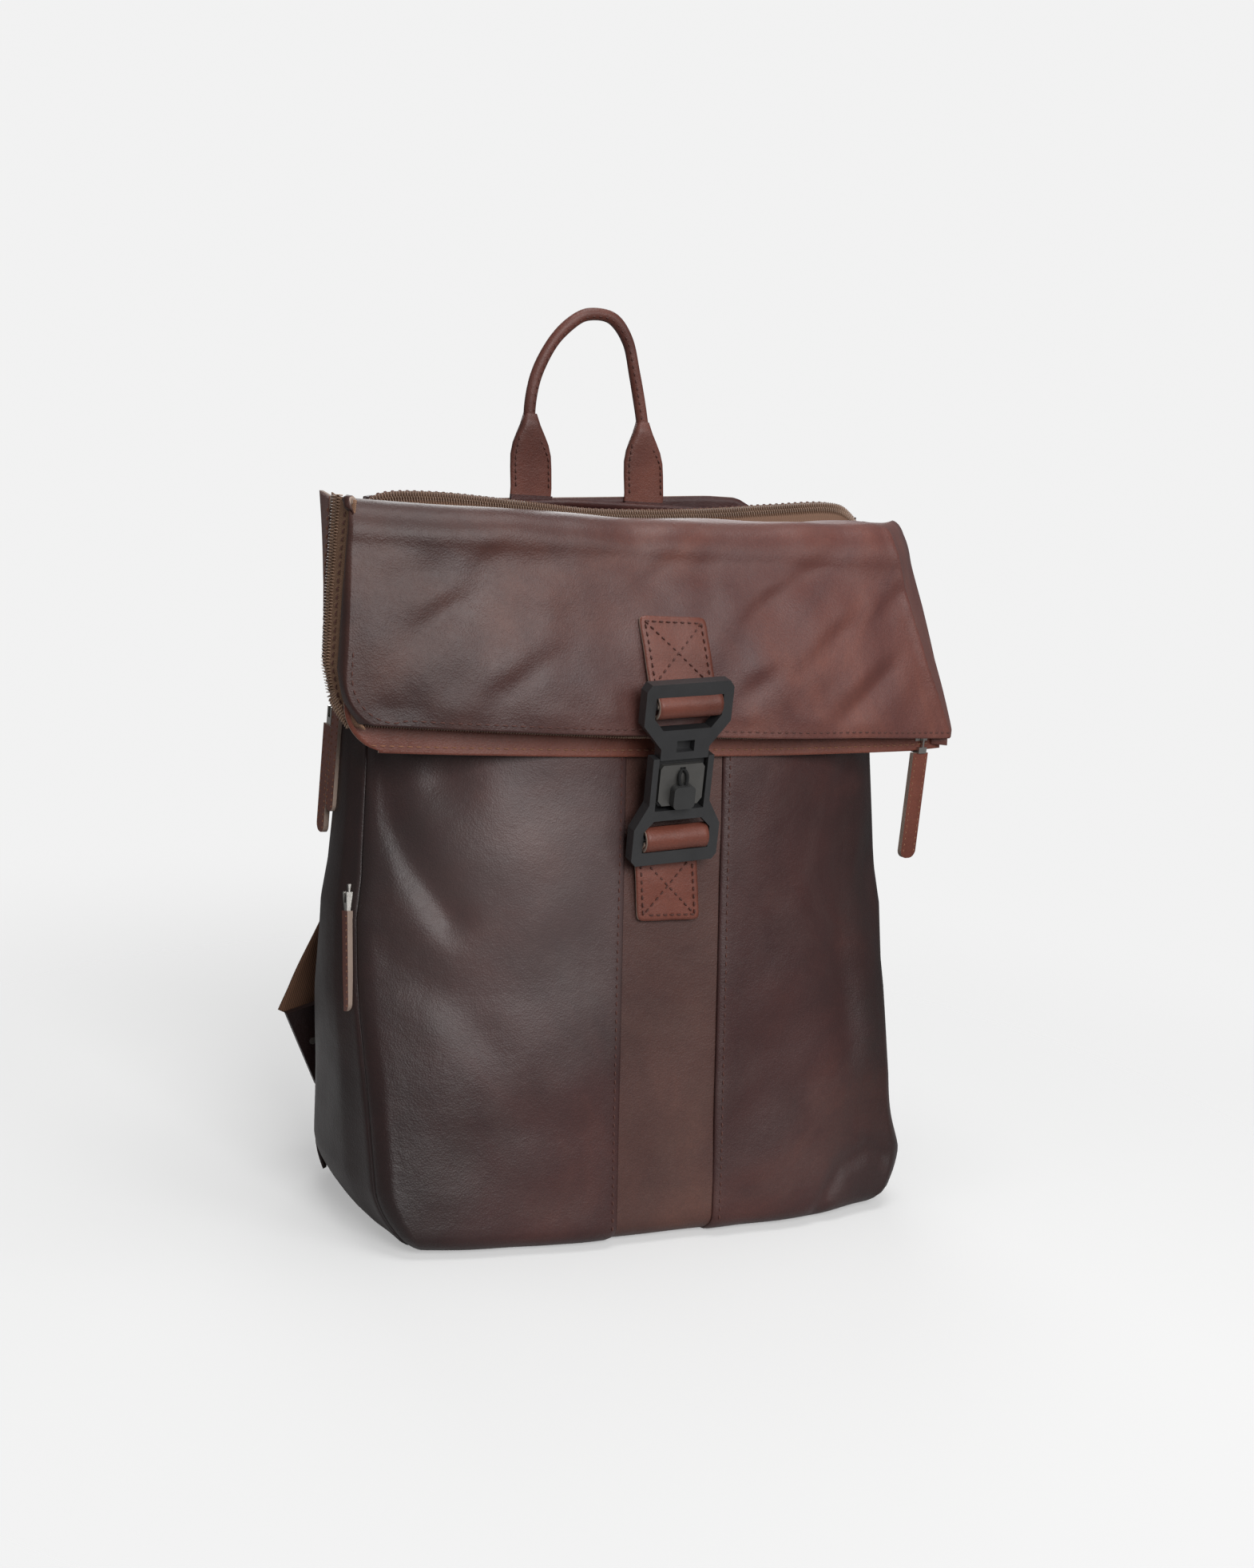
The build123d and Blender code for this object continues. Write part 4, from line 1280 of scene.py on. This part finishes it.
def build_straps():
    for side, name in ((-1, "left"), (1, "right")):
        _, _, out, _, long = strap_frame(side)
        lines = smooth_path([(0, 11, 92), (0, 14.6, 125), (0, 13, 180), (0, 0.6, long - 2)], 60)
        rings, face = [], []
        count = len(lines)
        for i, (_, y, z) in enumerate(lines):
            end = min(1.0, i / 5 + 0.45)
            half = 27 * (0.72 + 0.28 * min(1.0, i / 9))
            ring = []
            for a in np.linspace(0, 2 * pi, 36, endpoint=False):
                flat = copysign(abs(cos(a)) ** 0.4, cos(a))
                deep = copysign(abs(sin(a)) ** 0.8, sin(a))
                ring.append(strap_point(side, half * flat, y + 3.8 + 3.6 * end * deep, z))
            rings.append(ring)
            face.append([strap_point(side, (half - 0.6) * u, y + 8.6 + 0.9 * (1 - u * u) - 0.6 * abs(u) ** 6,
                                     z)
                         for u in np.linspace(-1, 1, 17)])
        pts = np.array(rings)
        faces = grid_faces(count, 36, wrap=True)
        faces.append(tuple(range(36))[::-1])
        faces.append(tuple(range((count - 1) * 36, count * 36)))
        pad = mesh_object(f"strap_pad_{name}", to_frame(pts).reshape(-1, 3), faces, MESH)
        puff(pad, out, 2.0)
        settle(pad, "pad_fabric", f"strap_{name}", f"strap_padding_{name}")
        skin(f"strap_face_{name}", np.array(face), BODY, "body_leather", f"strap_{name}",
             f"strap_leather_{name}", thick=1.8, rim=RAW)
        grid = np.array(face)
        rows = [grid[:, 1] + out * 0.1, grid[:, -2] + out * 0.1]
        settle(stitches(f"strap_stitches_{name}", rows, [out, out]), "body_leather", f"strap_{name}")
        web = smooth_path([(0, -3.4, -16), (0, -1.6, -4), (0, 0.9, 10), (0, 3, 40), (0, 8.4, 76),
                           (0, 12.2, 104)], 60)
        pts = np.array([[strap_point(side, 12.2 * u, y + 1.6, z) for u in np.linspace(-1, 1, 9)] for _, y,
                        z in web])
        webbing = sheet_mesh(f"strap_web_{name}", pts, WEB, thick=1.5)
        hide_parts(f"strap_webbing_{name}")
        start, end = strap_point(side, 0, 0, -6), strap_point(side, 0, 0, 20)
        Vector(to_frame(start))
        Vector(to_frame(end))
        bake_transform(webbing)
        show_hard(f"strap_adjuster_{name}", BLACK, 0.5)
    build_yoke()


def yoke_top(x):
    return level(x, [-91, -80, 60, 78, 91], [366, 368, 377, 377, 371])


def build_yoke():
    low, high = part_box("strap_yoke")
    x0, x1 = low[0] / MM, high[0] / MM
    xs = np.linspace(x0, x1, 50)
    zs = np.linspace(300, 371, 26)
    pts = np.array([[(x, 87.2 + wave(x, 88, z, 30, 0.7), 300 + (z - 300) * (yoke_top(x) - 300) / 71)
                     for x in xs] for z in zs])
    skin("yoke_leather", pts, BODY, "body_leather", "bag", "strap_yoke", thick=2.2, rim=RAW, flip=True)
    rows = []
    rows.append([(x, 87.9, 303.5) for x in np.linspace(x0 + 4, x1 - 4, 100)])
    rows.append([(x, 87.9, yoke_top(x) - 3.6) for x in np.linspace(x0 + 4, x1 - 4, 100)])
    for x in (x0 + 4, x1 - 4):
        rows.append([(x, 87.2, z) for z in np.linspace(303.5, 367.5, 40)])
    settle(stitches("yoke_stitches", rows, [(0, 1, 0)] * 4, lift=0.5), "body_leather", "bag")
    for side, name in ((-1, "left"), (1, "right")):
        long = strap_frame(side)[4]
        pts = np.array([[strap_point(side, 26.5 * u, y, long - 3 + z) for u in np.linspace(-1, 1, 12)]
                        for y, z in ((9.6, -1), (9.4, 2), (7.0, 6), (2.0, 11), (-6.0, 14))])
        anchor = sheet_mesh(f"yoke_anchor_{name}", pts, BODY, thick=2.0, rim=RAW)
        sewn, hangs = strap_point(side, 0, 0, long + 8), strap_point(side, 0, 0, long - 2)
        Vector(to_frame(sewn))
        Vector(to_frame(hangs))
        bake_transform(anchor)


def lining_ring(z):
    """Outline of the main compartment at one height, a little inside the leather."""
    front = [front_point(share, z, -1) for share in np.linspace(0.9, 0.0, 24)]
    front += [front_point(share, z, 1) for share in np.linspace(0.0, 0.9, 24)]
    ring = [(x * 0.985, y + 4.5, z) for x, y, _ in front]
    side = ring[-1][0]
    ring += [(side, y, z) for y in np.linspace(ring[-1][1] + 6, 50, 8)]
    ring += [(x, 50, z) for x in np.linspace(side - 4, -side + 4, 30)]
    ring += [(-side, y, z) for y in np.linspace(50, ring[0][1] + 6, 8)]
    return ring


def build_lining():
    zs = np.concatenate([np.linspace(9, 30, 6), np.linspace(38, 338, 40)])
    pts = np.array([lining_ring(z) for z in zs])
    count = pts.shape[1]
    faces = grid_faces(len(zs), count, wrap=True) + [tuple(range(count))[::-1]]
    lining = mesh_object("main_lining_cloth", to_frame(pts).reshape(-1, 3), faces, LINING)
    settle(lining, "lining_fabric", "bag", "main_lining")
    outline = np.array([(-124, 53), (124, 53), (124, 56), (-124, 56)])
    divider = slab("laptop_divider_cloth", outline, 9, 355, LINING, 0.5)
    settle(divider, "lining_fabric", "bag", "laptop_divider")


def build_small_leather():
    for node in ("handle_ends", "lower_tabs"):
        show_hard(node, BODY, 0.7)
    us = np.linspace(-0.97, 0.97, 60)
    pts = np.array([[flap_outer_point(u, s) for u in us] for s in np.linspace(0.004, 0.29, 14)])
    pts[:, :, 2] -= 3.0
    skin("top_leather", pts, BODY, "body_leather", "bag", "top_cap", thick=2.0, flip=True)
    build_lining()
    outline = np.array([(-120, -28), (120, -28), (122, 66), (-122, 66)])
    board = slab("base_board_panel", outline, 5.8, 7.6, LINING, 0.4)
    settle(board, "board", "bag", "base_board")


PAPER = 0.886


def build_stage():
    bpy.ops.mesh.primitive_plane_add(size=30, location=(0, 0, -0.0005))
    floor = bpy.context.object
    floor.name = "floor"
    paper, tree, bsdf = new_material("floor_paper")
    place = add(tree, "ShaderNodeTexCoord").outputs["Object"]
    reach = add(tree, "ShaderNodeVectorMath", {0: place}, operation="LENGTH").outputs["Value"]
    feed(tree, bsdf, {"Base Color": (0.69, 0.69, 0.69, 1), "Roughness": 0.9,
                      "Alpha": remap(tree, reach, 0.6, 0.0, 0.20, 0.75, "SMOOTHSTEP")})
    floor.data.materials.append(paper)
    world = bpy.data.worlds.new("studio")
    world.use_nodes = True
    tree = world.node_tree
    lit = feed(tree, tree.nodes["Background"], {0: (1.0, 1.0, 1.0, 1), 1: 0.20})
    seen = add(tree, "ShaderNodeBackground", {0: (PAPER, PAPER, PAPER, 1)})
    camera_ray = add(tree, "ShaderNodeLightPath").outputs["Is Camera Ray"]
    mix = add(tree, "ShaderNodeMixShader", {0: camera_ray, 1: lit.outputs[0], 2: seen.outputs[0]})
    tree.links.new(mix.outputs[0], tree.nodes["World Output"].inputs[0])
    bpy.context.scene.world = world
    bpy.context.scene.view_settings.view_transform = "Standard"
    for name, place, size, power in (("key", (-0.20, -1.9, 1.25), 1.1, 41),
                                     ("fill", (1.1, -1.4, 0.9), 0.7, 7),
                                     ("side", (-1.9, -0.3, 0.9), 0.5, 2), ("top", (0.1, -0.1, 1.9), 1.0, 18),
                                     ("rear", (0.5, 1.9, 1.0), 1.3, 16)):
        data = bpy.data.lights.new(name, "AREA")
        data.size = size
        data.energy = power
        lamp = bpy.data.objects.new(name, data)
        lamp.location = place
        aim = Vector((0, 0, 0.2)) - Vector(place)
        lamp.rotation_euler = aim.to_track_quat("-Z", "Y").to_euler()
        bpy.context.scene.collection.objects.link(lamp)


def build_camera():
    azimuth, elevation, roll = radians(-27.372), radians(11.869), radians(5.7775)
    back = Vector((sin(azimuth) * cos(elevation), -cos(azimuth) * cos(elevation), sin(elevation)))
    right = Vector((cos(azimuth), sin(azimuth), 0))
    up = back.cross(right)
    across = right * cos(roll) + up * sin(roll)
    rise = up * cos(roll) - right * sin(roll)
    data = bpy.data.cameras.new("photo_view")
    data.lens = 50
    data.sensor_fit = "VERTICAL"
    data.sensor_height = 36
    camera = bpy.data.objects.new("photo_view", data)
    place = Matrix((across, rise, back)).transposed().to_4x4()
    place.translation = Vector((-0.529555, -1.021131, 0.466232))
    camera.matrix_world = place
    bpy.context.scene.collection.objects.link(camera)
    bpy.context.scene.camera = camera


build_front()
build_sides()
build_base()
build_back()
build_flap()
build_inner_flap()
build_wings()
build_laptop_zip()
build_pocket_zip()
build_mouth_zip()
build_pulls()
build_buckle()
build_patches()
build_handle()
build_straps()
build_small_leather()
build_stage()
build_camera()
